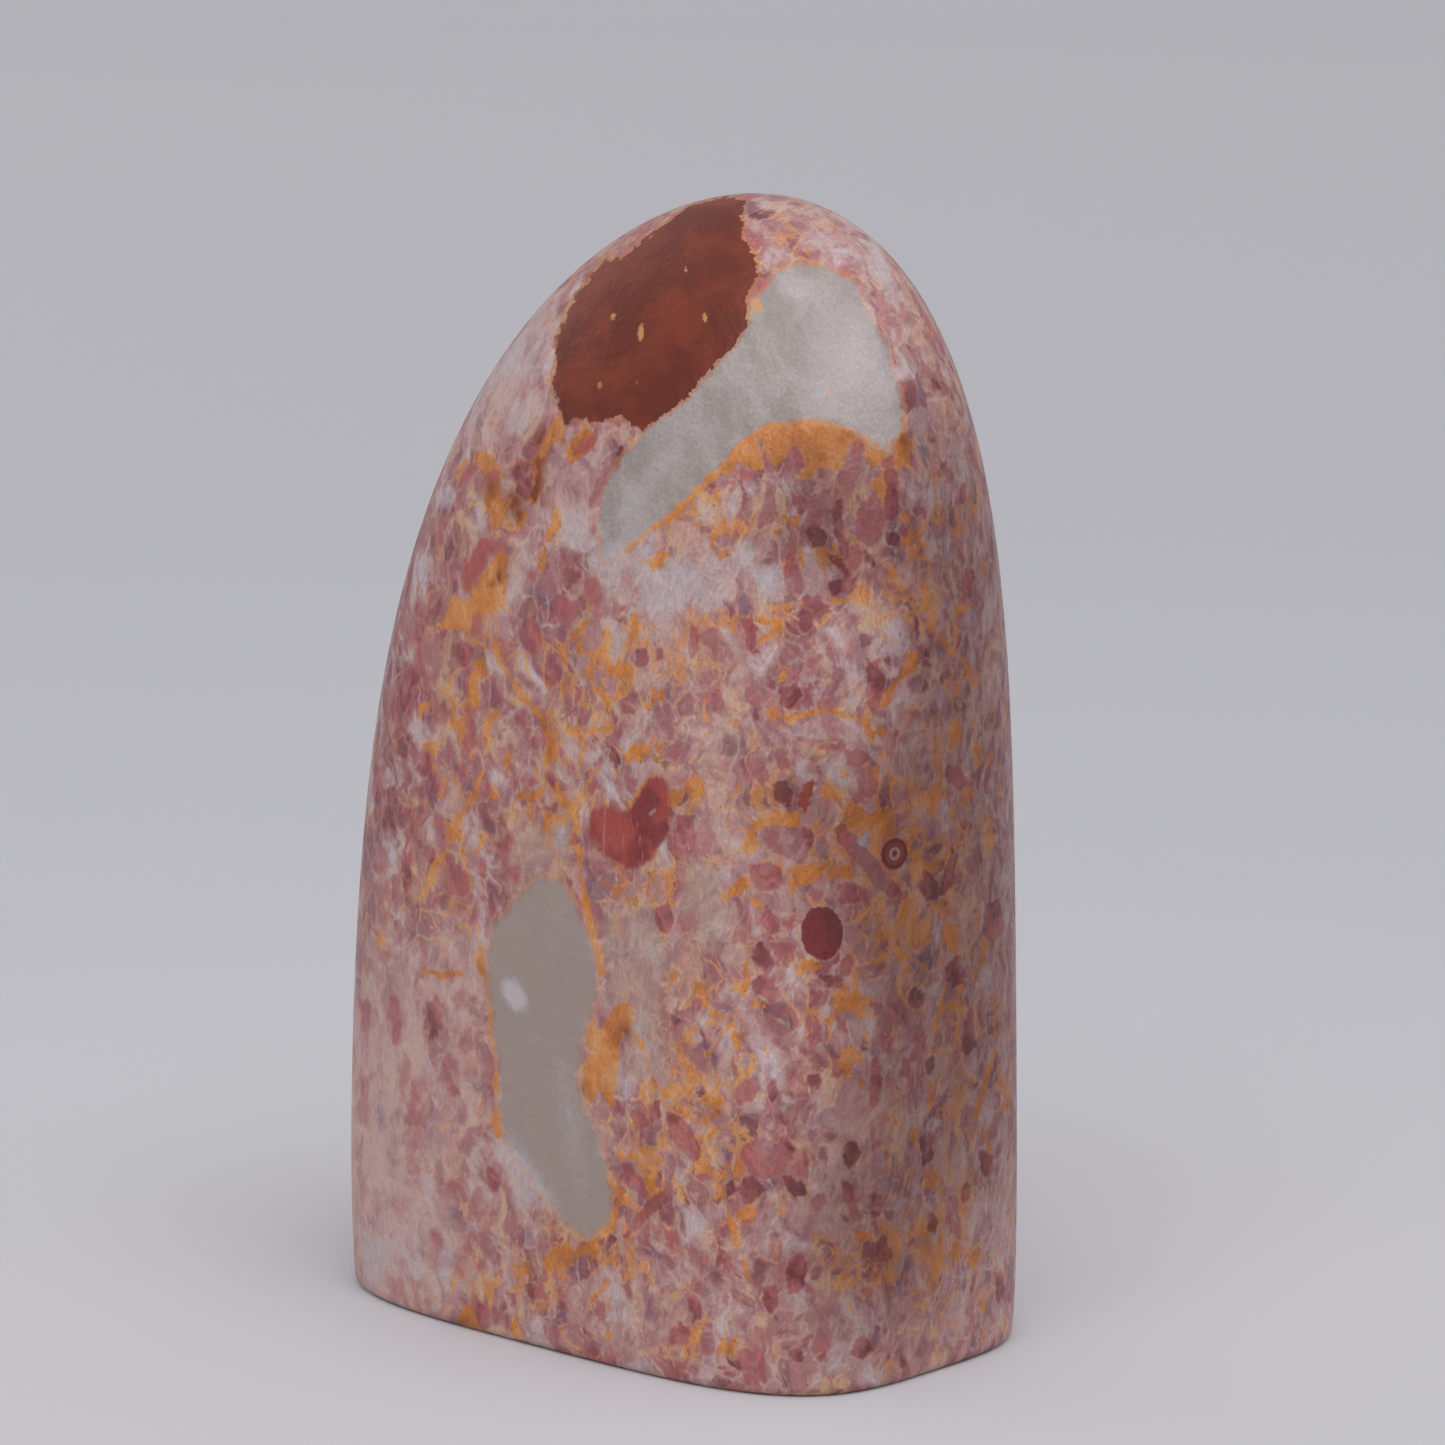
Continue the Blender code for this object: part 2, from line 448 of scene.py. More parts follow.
# Lavender streaking; the long ovals down the right edge are partly a painted reflection there
COOL_AND_SHEEN_OVALS = [
    (985, 640, 34, 150, -4, 1.0), (930, 760, 60, 60, 0, 0.7), (860, 640, 40, 40, 0, 0.3),
    (700, 740, 80, 50, 0, 0.35), (995, 1000, 24, 260, 0, 0.9), (930, 500, 30, 70, -20, 0.8),
    (820, 520, 44, 60, 0, 0.8), (900, 1120, 70, 60, 0, 0.6), (960, 1230, 50, 80, 0, 0.7),
    (840, 680, 60, 30, 0, 0.5), (810, 700, 40, 50, 0, 0.3), (540, 560, 20, 50, 0, 0.5),
    (395, 620, 24, 90, 12, 0.4), (370, 960, 20, 200, 0, 0.4), (880, 1330, 60, 40, 0, 0.5),
    (940, 960, 40, 50, 0, 0.5),
]
REDDISH_OVALS = [
    (835, 510, 58, 62, 0, 0.5), (800, 700, 50, 60, 0, 0.3), (900, 640, 30, 60, 0, 0.3),
    (390, 760, 40, 180, 5, 1.5), (420, 600, 30, 100, 15, 1.3), (385, 920, 40, 90, 0, 1.2),
    (640, 830, 60, 40, 0, 0.6), (500, 860, 30, 50, 0, 0.6), (650, 1150, 60, 80, 0, 0.4),
    (450, 540, 20, 60, 10, 0.5), (560, 600, 50, 40, 0, 0.3), (780, 700, 50, 60, 0, 0.4),
]

OCHRE_PATCHES = [
    [(788, 515), (799, 512), (804, 525), (797, 534), (788, 528)],
    [(822, 552), (836, 537), (841, 560), (832, 560)],
    [(899, 458), (905, 480), (903, 505), (914, 525), (896, 523), (898, 500)],
    [(899, 535), (913, 537), (911, 547), (897, 549)], [(920, 546), (933, 536), (931, 546)],
    [(772, 603), (792, 601), (814, 600), (802, 607), (782, 615), (774, 621)],
    [(828, 598), (850, 592), (862, 591), (869, 598), (850, 603), (838, 607), (832, 613)],
    [(705, 530), (719, 528), (716, 545), (729, 550), (722, 561), (711, 548)],
    [(764, 533), (777, 529), (768, 541)], [(758, 562), (780, 559), (770, 567)],
    [(903, 648), (913, 646), (918, 656), (909, 664), (901, 660)],
    [(965, 564), (979, 561), (983, 571), (972, 579)],
    # Left
    [(470, 664), (480, 659), (491, 665), (482, 680), (478, 695), (486, 701), (478, 711), (467, 713),
     (465, 730), (467, 746), (460, 756), (455, 748), (458, 735), (445, 729), (449, 721), (460, 715),
     (462, 700), (470, 690), (465, 676)],
    [(413, 716), (420, 704), (431, 699), (431, 709), (420, 723)],
    [(435, 690), (443, 684), (445, 699), (437, 706)],
    [(411, 741), (425, 742), (441, 737), (439, 756), (430, 760), (417, 751)],
    [(504, 752), (513, 749), (513, 765), (504, 763)],
    [(489, 790), (499, 787), (501, 801), (491, 806)],
    [(514, 791), (541, 791), (536, 799), (518, 799)],
    [(544, 826), (552, 811), (561, 807), (563, 819), (550, 829)],
    [(372, 934), (386, 934), (386, 947), (376, 945)],
    [(477, 838), (485, 834), (486, 846), (480, 851)],
    # Middle
    [(559, 731), (572, 723), (581, 728), (576, 736), (566, 737)],
    [(589, 722), (606, 728), (598, 736), (587, 733)],
    [(609, 664), (620, 655), (633, 659), (638, 670), (631, 681), (618, 681), (607, 675)],
    [(591, 690), (603, 687), (613, 704), (611, 717), (600, 705)],
    [(649, 690), (658, 684), (667, 690), (665, 703), (652, 701)],
    [(639, 706), (650, 701), (657, 710), (645, 713)],
    [(624, 750), (634, 741), (649, 745), (645, 756), (630, 758)],
    [(667, 796), (676, 787), (681, 800), (670, 813)],
    [(599, 886), (606, 875), (617, 886), (615, 897)],
    [(640, 560), (655, 554), (668, 556), (662, 567), (646, 572)],
    [(605, 640), (602, 655), (611, 640), (613, 610)],
    [(761, 703), (772, 704), (783, 718), (777, 727), (766, 727), (761, 718)],
    [(777, 672), (784, 659), (789, 672), (786, 684), (777, 684)],
    [(721, 728), (735, 721), (741, 730), (728, 739)],
    [(688, 780), (698, 774), (706, 785), (698, 793), (687, 788)],
    [(734, 780), (743, 777), (743, 791), (735, 791)],
    [(760, 816), (775, 811), (801, 812), (799, 823), (770, 826), (757, 838), (765, 851), (752, 859),
     (743, 845), (748, 830)],
    [(800, 868), (812, 861), (823, 872), (815, 883), (800, 891), (789, 888)],
    [(730, 885), (740, 874), (751, 880), (742, 896), (729, 896)],
    # Right
    [(811, 749), (825, 747), (837, 755), (825, 760), (814, 757)],
    [(875, 731), (888, 727), (883, 740)],
    [(952, 721), (960, 717), (968, 732), (958, 741), (951, 733)],
    [(927, 768), (935, 752), (944, 754), (942, 768), (933, 773)],
    [(984, 754), (995, 749), (998, 765), (987, 770)],
    [(842, 769), (851, 767), (852, 779), (843, 779)],
    [(818, 785), (835, 789), (842, 800), (836, 808), (826, 801), (818, 808), (813, 796)],
    [(838, 809), (850, 804), (865, 811), (885, 809), (900, 815), (896, 835), (884, 842), (872, 842),
     (858, 830), (845, 824)],
    [(826, 862), (845, 861), (859, 868), (867, 886), (850, 881), (838, 881), (830, 889),
     (821, 878)],
    [(868, 838), (880, 838), (884, 860), (877, 867)],
    [(904, 858), (925, 861), (941, 858), (946, 868), (936, 881), (925, 886), (911, 880),
     (902, 868)],
    [(964, 790), (972, 784), (978, 795), (968, 806), (961, 800)],
    [(984, 835), (993, 829), (996, 845), (985, 851)], [(963, 870), (973, 867), (971, 882)],
    [(939, 930), (952, 921), (962, 930), (955, 946), (943, 951)],
    [(864, 895), (880, 899), (889, 908), (887, 926), (880, 921), (872, 905)],
    [(891, 905), (905, 897), (908, 915), (898, 926), (892, 918)],
    [(917, 895), (933, 894), (938, 905), (928, 917), (920, 908)],
    [(899, 958), (912, 954), (914, 972), (903, 973)], [(867, 959), (879, 962), (874, 971)],
    [(957, 990), (967, 984), (963, 1001)], [(973, 980), (982, 990), (974, 997)],
    [(806, 962), (815, 957), (830, 961), (839, 968), (837, 981), (825, 973), (812, 975),
     (805, 968)],
    [(831, 1000), (845, 991), (869, 994), (871, 1008), (862, 1021), (850, 1014), (838, 1021),
     (828, 1034), (825, 1020)],
    [(858, 1020), (867, 1022), (874, 1035), (866, 1047), (857, 1033)],
    [(834, 1062), (850, 1044), (863, 1049), (869, 1070), (867, 1089), (857, 1089), (860, 1070),
     (852, 1058), (848, 1071), (838, 1065)],
    [(999, 1084), (1007, 1087), (1007, 1111), (999, 1113)],
    # Lower part
    [(735, 979), (745, 982), (750, 992), (765, 1000), (777, 1002), (760, 1009), (745, 1003),
     (735, 992)],
    [(719, 1030), (729, 1027), (724, 1047)], [(732, 1040), (744, 1037), (743, 1049)],
    [(761, 1048), (771, 1044), (769, 1058)],
    [(737, 1070), (750, 1064), (760, 1067), (750, 1077), (740, 1081), (735, 1087)],
    [(694, 1071), (703, 1069), (706, 1085), (703, 1101), (691, 1106), (689, 1096), (697, 1092),
     (695, 1080)],
    [(696, 984), (709, 984), (706, 996), (697, 993)],
    [(699, 1001), (709, 999), (713, 1011), (702, 1010)],
    [(689, 1159), (708, 1159), (717, 1170), (723, 1182), (712, 1177), (695, 1176)],
    [(721, 1159), (735, 1161), (741, 1175), (733, 1187), (724, 1173)],
    [(734, 1206), (753, 1207), (755, 1216), (742, 1220)],
    [(611, 1195), (620, 1187), (634, 1191), (629, 1206), (618, 1212)],
    [(612, 1149), (623, 1147), (632, 1163), (618, 1161)],
    [(565, 1250), (580, 1241), (600, 1239), (593, 1256), (576, 1264), (565, 1263)],
    [(644, 1180), (655, 1174), (660, 1190), (650, 1204), (643, 1194)],
    [(514, 1261), (529, 1261), (532, 1276), (519, 1280)],
    [(539, 1258), (557, 1249), (556, 1263), (544, 1271)],
    [(565, 1284), (576, 1281), (580, 1293), (570, 1292)],
    [(499, 1295), (513, 1289), (516, 1300), (503, 1306)],
    [(534, 1306), (546, 1297), (548, 1306), (540, 1310)],
    [(454, 1311), (465, 1299), (476, 1304), (482, 1325), (483, 1334), (459, 1328)],
    [(507, 1317), (517, 1314), (517, 1332)], [(717, 1334), (729, 1331), (732, 1349), (721, 1354)],
    [(685, 1335), (696, 1329), (702, 1342), (688, 1347)],
    [(853, 1228), (865, 1224), (868, 1238), (857, 1242)],
    [(859, 1149), (869, 1141), (873, 1155), (864, 1164)],
    [(924, 1172), (935, 1164), (944, 1170), (939, 1183), (932, 1194), (925, 1183)],
    [(918, 1214), (929, 1222), (924, 1234)], [(949, 1247), (959, 1244), (962, 1256), (952, 1258)],
    [(967, 1257), (977, 1255), (977, 1270), (968, 1268)],
]
# Ochre that keeps its shape: its edges are less torn
OCHRE_SOLIDS = [
    # The arch under the upper grey patch
    [(716, 472), (728, 450), (745, 438), (765, 426), (790, 419), (820, 418), (842, 426), (862, 434),
     (875, 446), (888, 454), (895, 440), (902, 430), (910, 440), (911, 456), (903, 470), (896, 480),
     (890, 492), (884, 504), (877, 494), (868, 484), (878, 474), (884, 464), (872, 470), (862, 456),
     (850, 446), (846, 462), (838, 471), (820, 468), (808, 480), (799, 474), (804, 464), (797, 449),
     (788, 458), (776, 469), (768, 458), (762, 471), (750, 466), (738, 462), (730, 478)],
    # Left, some of it stained brown
    [(473, 455), (482, 450), (496, 457), (500, 465), (499, 476), (504, 496), (510, 500), (510, 508),
     (504, 514), (500, 528), (496, 537), (493, 528), (492, 520), (483, 508), (483, 497), (486, 486),
     (482, 475), (476, 465)],
    [(529, 480), (536, 470), (542, 472), (541, 485), (537, 498), (529, 504), (526, 500),
     (532, 490)],
    [(510, 462), (516, 458), (512, 470), (508, 478), (508, 492), (516, 500), (510, 502), (503, 492),
     (503, 476)],
    [(544, 444), (552, 430), (560, 426), (560, 436), (550, 446), (546, 458), (541, 466),
     (539, 456)],
    [(567, 446), (575, 438), (590, 430), (597, 436), (593, 450), (582, 458), (572, 466),
     (566, 458)],
    [(517, 511), (525, 510), (529, 516), (523, 521), (516, 517)],
    [(515, 523), (521, 522), (519, 536), (516, 536)],
    [(553, 512), (562, 510), (562, 524), (554, 530)],
    [(540, 550), (545, 549), (545, 564), (541, 564)],
    [(496, 548), (508, 549), (509, 556), (508, 570), (506, 587), (503, 598), (501, 611), (490, 617),
     (472, 617), (466, 624), (461, 632), (451, 632), (442, 626), (445, 617), (448, 603), (454, 593),
     (462, 598), (468, 600), (476, 587), (486, 570), (493, 556)],
    # Beside the lower grey patch
    [(583, 1034), (590, 1015), (597, 1018), (599, 1029), (606, 1020), (615, 1004), (632, 1006),
     (637, 1020), (630, 1030), (622, 1040), (618, 1062), (617, 1089), (614, 1113), (606, 1103),
     (599, 1089), (591, 1108), (583, 1099), (582, 1071), (588, 1052)],
]
# half width, then the points that the vein passes
OCHRE_VEINS = [
    (3.2, [(495, 612), (496, 640), (502, 662), (512, 682), (522, 697), (532, 705)]),
    (3.5, [(532, 705), (542, 718), (549, 742), (554, 766), (560, 790)]),
    (4.0, [(555, 788), (563, 801), (572, 808), (577, 825), (574, 836)]),
    (4.5, [(572, 840), (579, 852), (581, 872), (584, 892), (590, 925), (596, 946), (600, 972)]),
    (2.6, [(632, 1028), (643, 1052), (655, 1085), (673, 1098), (685, 1112), (698, 1126),
         (695, 1140)]),
    (4.5, [(628, 548), (655, 527), (683, 503), (716, 474), (742, 452)]),
    (3.2, [(478, 925), (481, 945), (478, 960), (484, 977), (491, 1000), (489, 1030), (495, 1060),
         (497, 1092), (492, 1110), (499, 1134)]),
    (2.2, [(695, 1140), (707, 1163), (716, 1178), (722, 1195), (728, 1215), (735, 1236),
         (742, 1256), (747, 1278)]),
    (3.5, [(622, 1190), (617, 1210), (608, 1228), (592, 1241)]),
    (3.5, [(443, 820), (450, 828), (447, 850), (436, 862), (430, 880), (425, 902)]),
    (3.5, [(455, 824), (462, 845), (466, 868), (471, 886)]),
    (3.0, [(421, 940), (425, 970), (440, 976), (462, 973)]),
    (3.0, [(566, 402), (558, 420), (548, 440), (541, 457), (538, 470), (540, 486), (534, 502)]),
    (2.6, [(557, 510), (548, 540), (542, 567)]), (2.2, [(570, 641), (578, 632), (586, 621)]),
    (2.2, [(628, 652), (636, 630), (634, 612)]), (2.2, [(648, 642), (656, 620)]),
    (2.5, [(430, 756), (438, 776), (440, 796)]), (2.5, [(483, 703), (486, 725), (484, 742)]),
    (3.0, [(482, 769), (476, 786), (477, 802)]), (2.4, [(578, 728), (583, 746), (578, 767)]),
    (2.4, [(601, 764), (588, 782), (579, 797)]), (2.0, [(635, 797), (646, 784), (656, 770)]),
    (2.4, [(797, 535), (800, 550), (804, 567)]), (2.8, [(888, 582), (900, 566), (914, 551)]),
    (2.4, [(880, 560), (892, 570)]), (2.6, [(760, 641), (773, 633), (782, 620)]),
    (2.8, [(918, 600), (928, 603), (934, 613), (930, 625), (940, 638), (952, 650), (967, 664)]),
    (4.0, [(909, 660), (902, 676), (890, 692), (883, 706)]), (2.0, [(704, 694), (706, 722)]),
    (2.2, [(788, 723), (800, 716), (815, 711), (835, 712), (851, 718), (864, 722), (873, 738)]),
    (2.4, [(940, 734), (939, 752)]), (2.0, [(968, 660), (972, 684)]),
    (2.2, [(768, 727), (773, 737), (770, 750)]), (3.2, [(935, 796), (934, 815), (926, 836)]),
    (2.8, [(958, 611), (969, 605)]), (2.2, [(984, 944), (982, 964)]),
    (3.0, [(995, 1048), (989, 1070), (983, 1090), (976, 1114)]),
    (2.6, [(922, 1069), (930, 1086), (928, 1112)]), (2.2, [(885, 1059), (888, 1077)]),
    (2.6, [(738, 1010), (747, 1026)]), (2.2, [(708, 1120), (717, 1108), (720, 1097)]),
    (2.4, [(725, 1113), (742, 1115)]), (3.0, [(672, 1177), (681, 1187), (682, 1202)]),
    (3.0, [(597, 1297), (610, 1278)]), (2.4, [(452, 1274), (455, 1292)]),
    (2.6, [(607, 1300), (612, 1316), (608, 1336)]), (2.4, [(421, 1184), (424, 1207)]),
    (2.6, [(916, 1130), (918, 1150)]), (2.6, [(920, 1158), (929, 1176)]),
    (2.6, [(939, 1257), (934, 1271), (929, 1287)]), (2.4, [(970, 1279), (976, 1296), (985, 1311)]),
    (2.6, [(966, 1129), (970, 1152)]), (2.6, [(985, 1129), (990, 1162)]),
    (2.0, [(591, 273), (577, 294), (566, 318), (557, 338), (556, 360), (549, 382), (553, 402)]),
]
BROWN_STAINS = [
    (546, 442, 12, 16, 20, 1.3), (496, 505, 16, 14, 20, 0.8), (535, 478, 9, 24, 0, 1.2),
    (512, 452, 8, 10, 0, 0.7), (516, 500, 8, 12, 0, 1.0), (533, 500, 6, 10, 0, 0.8),
    (522, 516, 7, 6, 0, 1.0), (575, 442, 10, 8, 0, 1.0), (490, 484, 7, 8, 0, 0.9),
    (625, 1032, 6, 12, 0, 1.0), (904, 440, 7, 9, 0, 0.9), (888, 1295, 4, 24, -10, 0.9),
    (545, 745, 7, 30, -5, 0.7), (858, 1178, 6, 6, 0, 0.7), (865, 1150, 6, 8, 0, 0.6),
    (499, 578, 4, 7, 0, 1.4), (491, 584, 4, 3, 0, 1.0), (465, 1322, 8, 4, 0, 0.9),
    (575, 402, 6, 14, 20, 0.5), (607, 1095, 6, 16, 0, 0.5),
]

# tone, from 0 for dark maroon to 1 for pale mauve, then the outline
CLASTS = [
    # Under the arch
    (0.6, [(758, 438), (762, 437), (767, 448), (772, 464), (776, 479), (777, 497), (781, 515),
         (784, 523), (777, 524), (766, 525), (756, 529), (758, 517), (763, 502), (766, 484),
         (764, 466), (759, 451)]),
    (0.2, [(857, 507), (866, 499), (875, 494), (881, 505), (884, 520), (881, 535), (875, 546),
         (866, 548), (858, 538), (854, 523)]),
    (0.1, [(789, 501), (797, 496), (804, 499), (805, 510), (800, 516), (797, 508), (792, 505)]),
    (0.4, [(790, 449), (798, 446), (804, 462), (800, 471), (792, 467), (780, 477)]),
    (0.55, [(850, 443), (863, 437), (867, 448), (858, 463), (845, 465)]),
    (0.15, [(834, 500), (843, 490), (843, 520), (849, 545), (851, 560), (840, 553), (832, 530)]),
    (0.5, [(806, 499), (825, 497), (831, 512), (822, 523), (806, 521)]),
    (0.15, [(806, 528), (826, 530), (825, 546), (812, 546)]),
    (0.12, [(882, 462), (893, 454), (898, 478), (896, 521), (884, 516), (889, 490)]),
    (0.1, [(884, 532), (899, 531), (901, 546), (888, 547)]),
    (0.08, [(824, 551), (838, 557), (853, 571), (861, 583), (846, 577), (832, 564)]),
    (0.45, [(791, 529), (796, 545), (801, 591), (790, 593), (784, 570)]),
    (0.12, [(830, 582), (850, 574), (861, 585), (850, 593), (832, 595)]),
    (0.05, [(967, 567), (973, 571), (969, 596), (962, 602), (961, 580)]),
    (0.05, [(916, 499), (921, 500), (928, 517), (923, 518)]),
    (0.2, [(944, 468), (952, 466), (954, 480), (946, 484)]),
    (0.15, [(960, 486), (966, 482), (965, 500), (959, 505)]),
    (0.6, [(838, 474), (858, 466), (872, 472), (866, 486), (850, 492), (838, 488)]),
    # Left
    (0.55, [(584, 577), (597, 576), (607, 588), (608, 600), (600, 609), (588, 604), (583, 592)]),
    (0.5, [(553, 598), (566, 596), (580, 600), (579, 618), (568, 629), (556, 622)]),
    (0.15, [(512, 469), (520, 461), (530, 461), (525, 478), (514, 483)]),
    (0.12, [(516, 480), (530, 476), (533, 487), (524, 502), (513, 492)]),
    (0.6, [(607, 454), (616, 452), (615, 466), (608, 480), (600, 496), (591, 508), (590, 503),
         (595, 486), (601, 471)]),
    (0.6, [(438, 527), (450, 525), (454, 534), (446, 547), (439, 544)]),
    (0.75, [(540, 575), (560, 573), (566, 582), (556, 594), (541, 595)]),
    (0.35, [(523, 622), (534, 611), (541, 630), (541, 651), (528, 656), (521, 640)]),
    (0.5, [(497, 611), (507, 617), (505, 650), (509, 667), (500, 661)]),
    (0.3, [(449, 645), (462, 639), (472, 652), (462, 664), (453, 657)]),
    (0.3, [(414, 599), (423, 609), (415, 640), (403, 652), (407, 620)]),
    (0.2, [(419, 640), (441, 640), (436, 667), (413, 668)]),
    (0.4, [(435, 559), (445, 562), (441, 576), (433, 573)]),
    (0.45, [(436, 522), (446, 518), (444, 545), (434, 550)]),
    (0.45, [(527, 572), (536, 571), (536, 583), (528, 583)]),
    (0.25, [(636, 649), (648, 648), (647, 665), (634, 667)]),
    (0.3, [(655, 649), (664, 647), (663, 664), (654, 662)]),
    (0.45, [(523, 707), (530, 714), (519, 737), (511, 729)]),
    (0.15, [(529, 737), (538, 737), (537, 749), (528, 749)]),
    (0.2, [(489, 834), (500, 842), (513, 831), (511, 850), (505, 867), (498, 857)]),
    (0.25, [(505, 867), (517, 863), (523, 876), (513, 884)]),
    (0.15, [(402, 856), (412, 849), (417, 862), (410, 878), (401, 870)]),
    (0.12, [(383, 807), (395, 805), (396, 830), (388, 837), (383, 825)]),
    (0.2, [(436, 705), (444, 699), (453, 715), (446, 726), (437, 723)]),
    (0.25, [(420, 662), (410, 685), (403, 706), (401, 722), (394, 720), (396, 700), (408, 676)]),
    (0.4, [(521, 780), (536, 777), (541, 787), (526, 789)]),
    (0.85, [(564, 738), (575, 737), (578, 756), (566, 758)]),
    (0.35, [(439, 868), (458, 861), (471, 880), (466, 897), (447, 897)]),
    (0.05, [(567, 838), (575, 833), (579, 840), (572, 845)]),
    (0.3, [(471, 762), (479, 758), (482, 770), (474, 778)]),
    (0.35, [(428, 772), (434, 770), (436, 788), (430, 790)]),
    (0.12, [(427, 1000), (438, 994), (443, 1015), (439, 1036), (430, 1037), (423, 1018)]),
    (0.2, [(379, 950), (393, 944), (393, 959), (383, 967)]),
    (0.4, [(357, 1000), (369, 1001), (369, 1026), (361, 1032)]),
    (0.4, [(379, 911), (389, 911), (387, 932), (380, 928)]),
    (0.4, [(479, 997), (487, 999), (487, 1022), (480, 1020)]),
    # Middle
    (0.65, [(656, 707), (671, 704), (675, 718), (673, 740), (656, 740), (655, 722)]),
    (0.5, [(587, 784), (596, 775), (605, 782), (599, 792)]),
    (0.4, [(629, 777), (637, 779), (635, 797), (627, 791)]),
    (0.3, [(675, 814), (685, 814), (695, 822), (693, 839), (682, 844), (673, 836)]),
    (0.25, [(656, 907), (668, 904), (675, 920), (669, 934), (658, 931)]),
    (0.55, [(761, 829), (780, 825), (802, 829), (808, 850), (807, 864), (790, 860), (775, 852),
         (764, 841)]),
    (0.1, [(802, 830), (808, 824), (814, 845), (806, 849)]),
    (0.3, [(831, 828), (842, 819), (850, 832), (866, 848), (882, 869), (902, 893), (890, 899),
         (872, 881), (856, 863), (840, 846)]),
    (0.02, [(945, 868), (952, 843), (957, 855), (953, 881), (944, 897), (939, 890)]),
    (0.05, [(770, 784), (785, 779), (796, 790), (791, 807), (774, 801)]),
    (0.25, [(844, 751), (868, 751), (873, 760), (862, 768), (848, 763)]),
    (0.45, [(854, 770), (870, 764), (881, 785), (870, 801), (858, 791)]),
    (0.35, [(752, 769), (768, 767), (773, 780), (762, 787)]),
    (0.25, [(774, 752), (785, 749), (791, 765), (780, 772)]),
    (0.15, [(865, 664), (880, 659), (883, 680), (880, 701), (872, 712), (865, 690)]),
    (0.15, [(779, 688), (795, 684), (801, 695), (790, 707), (779, 706)]),
    (0.4, [(711, 692), (722, 689), (726, 705), (718, 722)]),
    (0.8, [(802, 722), (818, 716), (840, 717), (856, 722), (862, 736), (846, 742), (820, 738),
         (804, 740)]),
    (0.2, [(815, 741), (840, 743), (850, 751), (818, 752)]),
    (0.45, [(741, 690), (760, 679), (769, 700), (755, 707), (743, 703)]),
    (0.3, [(747, 865), (765, 861), (783, 870), (781, 887), (765, 892), (749, 881)]),
    (0.12, [(945, 764), (960, 769), (972, 785), (958, 792), (947, 781)]),
    (0.02, [(924, 870), (938, 882), (941, 897), (925, 902), (917, 888)]),
    (0.25, [(839, 884), (855, 881), (859, 902), (841, 902)]),
    (0.35, [(969, 850), (979, 844), (977, 867), (967, 863)]),
    (0.45, [(894, 704), (905, 699), (907, 718), (896, 724)]),
    (0.35, [(744, 620), (753, 618), (756, 645), (748, 650)]),
    (0.7, [(700, 632), (724, 626), (738, 640), (722, 662), (704, 656)]),
    (0.4, [(691, 628), (699, 626), (698, 650), (690, 654)]),
    (0.25, [(800, 619), (812, 616), (812, 628), (802, 632)]),
    # Lower part
    (0.65, [(733, 1012), (750, 1008), (772, 1018), (790, 1034), (778, 1048), (752, 1050),
         (738, 1040), (745, 1026)]),
    (0.2, [(752, 977), (765, 974), (776, 985), (783, 999), (770, 1002), (757, 996), (749, 988)]),
    (0.2, [(737, 1085), (755, 1074), (764, 1085), (756, 1101), (740, 1105), (731, 1095)]),
    (0.02, [(767, 1085), (775, 1079), (780, 1095), (772, 1102)]),
    (0.15, [(804, 1075), (820, 1074), (826, 1088), (812, 1094)]),
    (0.2, [(870, 1061), (880, 1060), (883, 1085), (877, 1117), (869, 1106)]),
    (0.35, [(869, 1002), (882, 1001), (892, 1018), (889, 1032), (878, 1026)]),
    (0.05, [(839, 960), (850, 954), (857, 965), (848, 977), (837, 971)]),
    (0.1, [(818, 973), (838, 975), (844, 986), (825, 987)]),
    (0.35, [(764, 911), (778, 914), (781, 931), (767, 932), (761, 920)]),
    (0.08, [(909, 1066), (914, 1045), (920, 1018), (928, 1035), (919, 1057)]),
    (0.08, [(962, 1052), (964, 1020), (972, 1008), (978, 1040), (969, 1060)]),
    (0.08, [(984, 905), (1000, 897), (1004, 930), (992, 947), (983, 930)]),
    (0.1, [(944, 960), (960, 954), (967, 975), (955, 990), (943, 979)]),
    (0.7, [(683, 1045), (698, 1043), (711, 1065), (709, 1082), (700, 1070), (688, 1061)]),
    (0.0, [(901, 1055), (913, 1060), (908, 1082), (899, 1076)]),
    (0.2, [(665, 1111), (680, 1114), (694, 1133), (702, 1156), (689, 1160), (675, 1146),
         (665, 1131)]),
    (0.4, [(629, 1112), (640, 1107), (650, 1125), (636, 1134)]),
    (0.25, [(649, 1104), (660, 1099), (664, 1115), (652, 1122)]),
    (0.1, [(485, 1169), (492, 1164), (501, 1172), (503, 1183), (494, 1192), (485, 1185)]),
    (0.25, [(672, 1184), (675, 1196), (655, 1212), (640, 1227), (628, 1240), (620, 1238),
         (636, 1215), (655, 1195)]),
    (0.35, [(619, 1160), (632, 1164), (641, 1180), (646, 1196), (635, 1192), (621, 1181)]),
    (0.02, [(607, 1235), (615, 1229), (618, 1241), (610, 1247)]),
    (0.02, [(596, 1238), (605, 1239), (601, 1248)]),
    (0.35, [(429, 1229), (438, 1227), (447, 1240), (440, 1252), (431, 1243)]),
    (0.35, [(464, 1234), (471, 1239), (470, 1254), (462, 1249)]),
    (0.25, [(454, 1261), (462, 1267), (468, 1281), (457, 1277)]),
    (0.4, [(476, 1257), (485, 1259), (484, 1274), (475, 1269)]),
    (0.3, [(469, 1289), (478, 1294), (489, 1315), (492, 1330), (480, 1324), (473, 1306)]),
    (0.2, [(523, 1282), (538, 1284), (548, 1299), (529, 1296)]),
    (0.25, [(559, 1289), (568, 1294), (568, 1312), (559, 1310)]),
    (0.2, [(597, 1299), (604, 1304), (608, 1324), (597, 1320)]),
    (0.55, [(438, 1179), (455, 1181), (467, 1192), (463, 1202), (449, 1193)]),
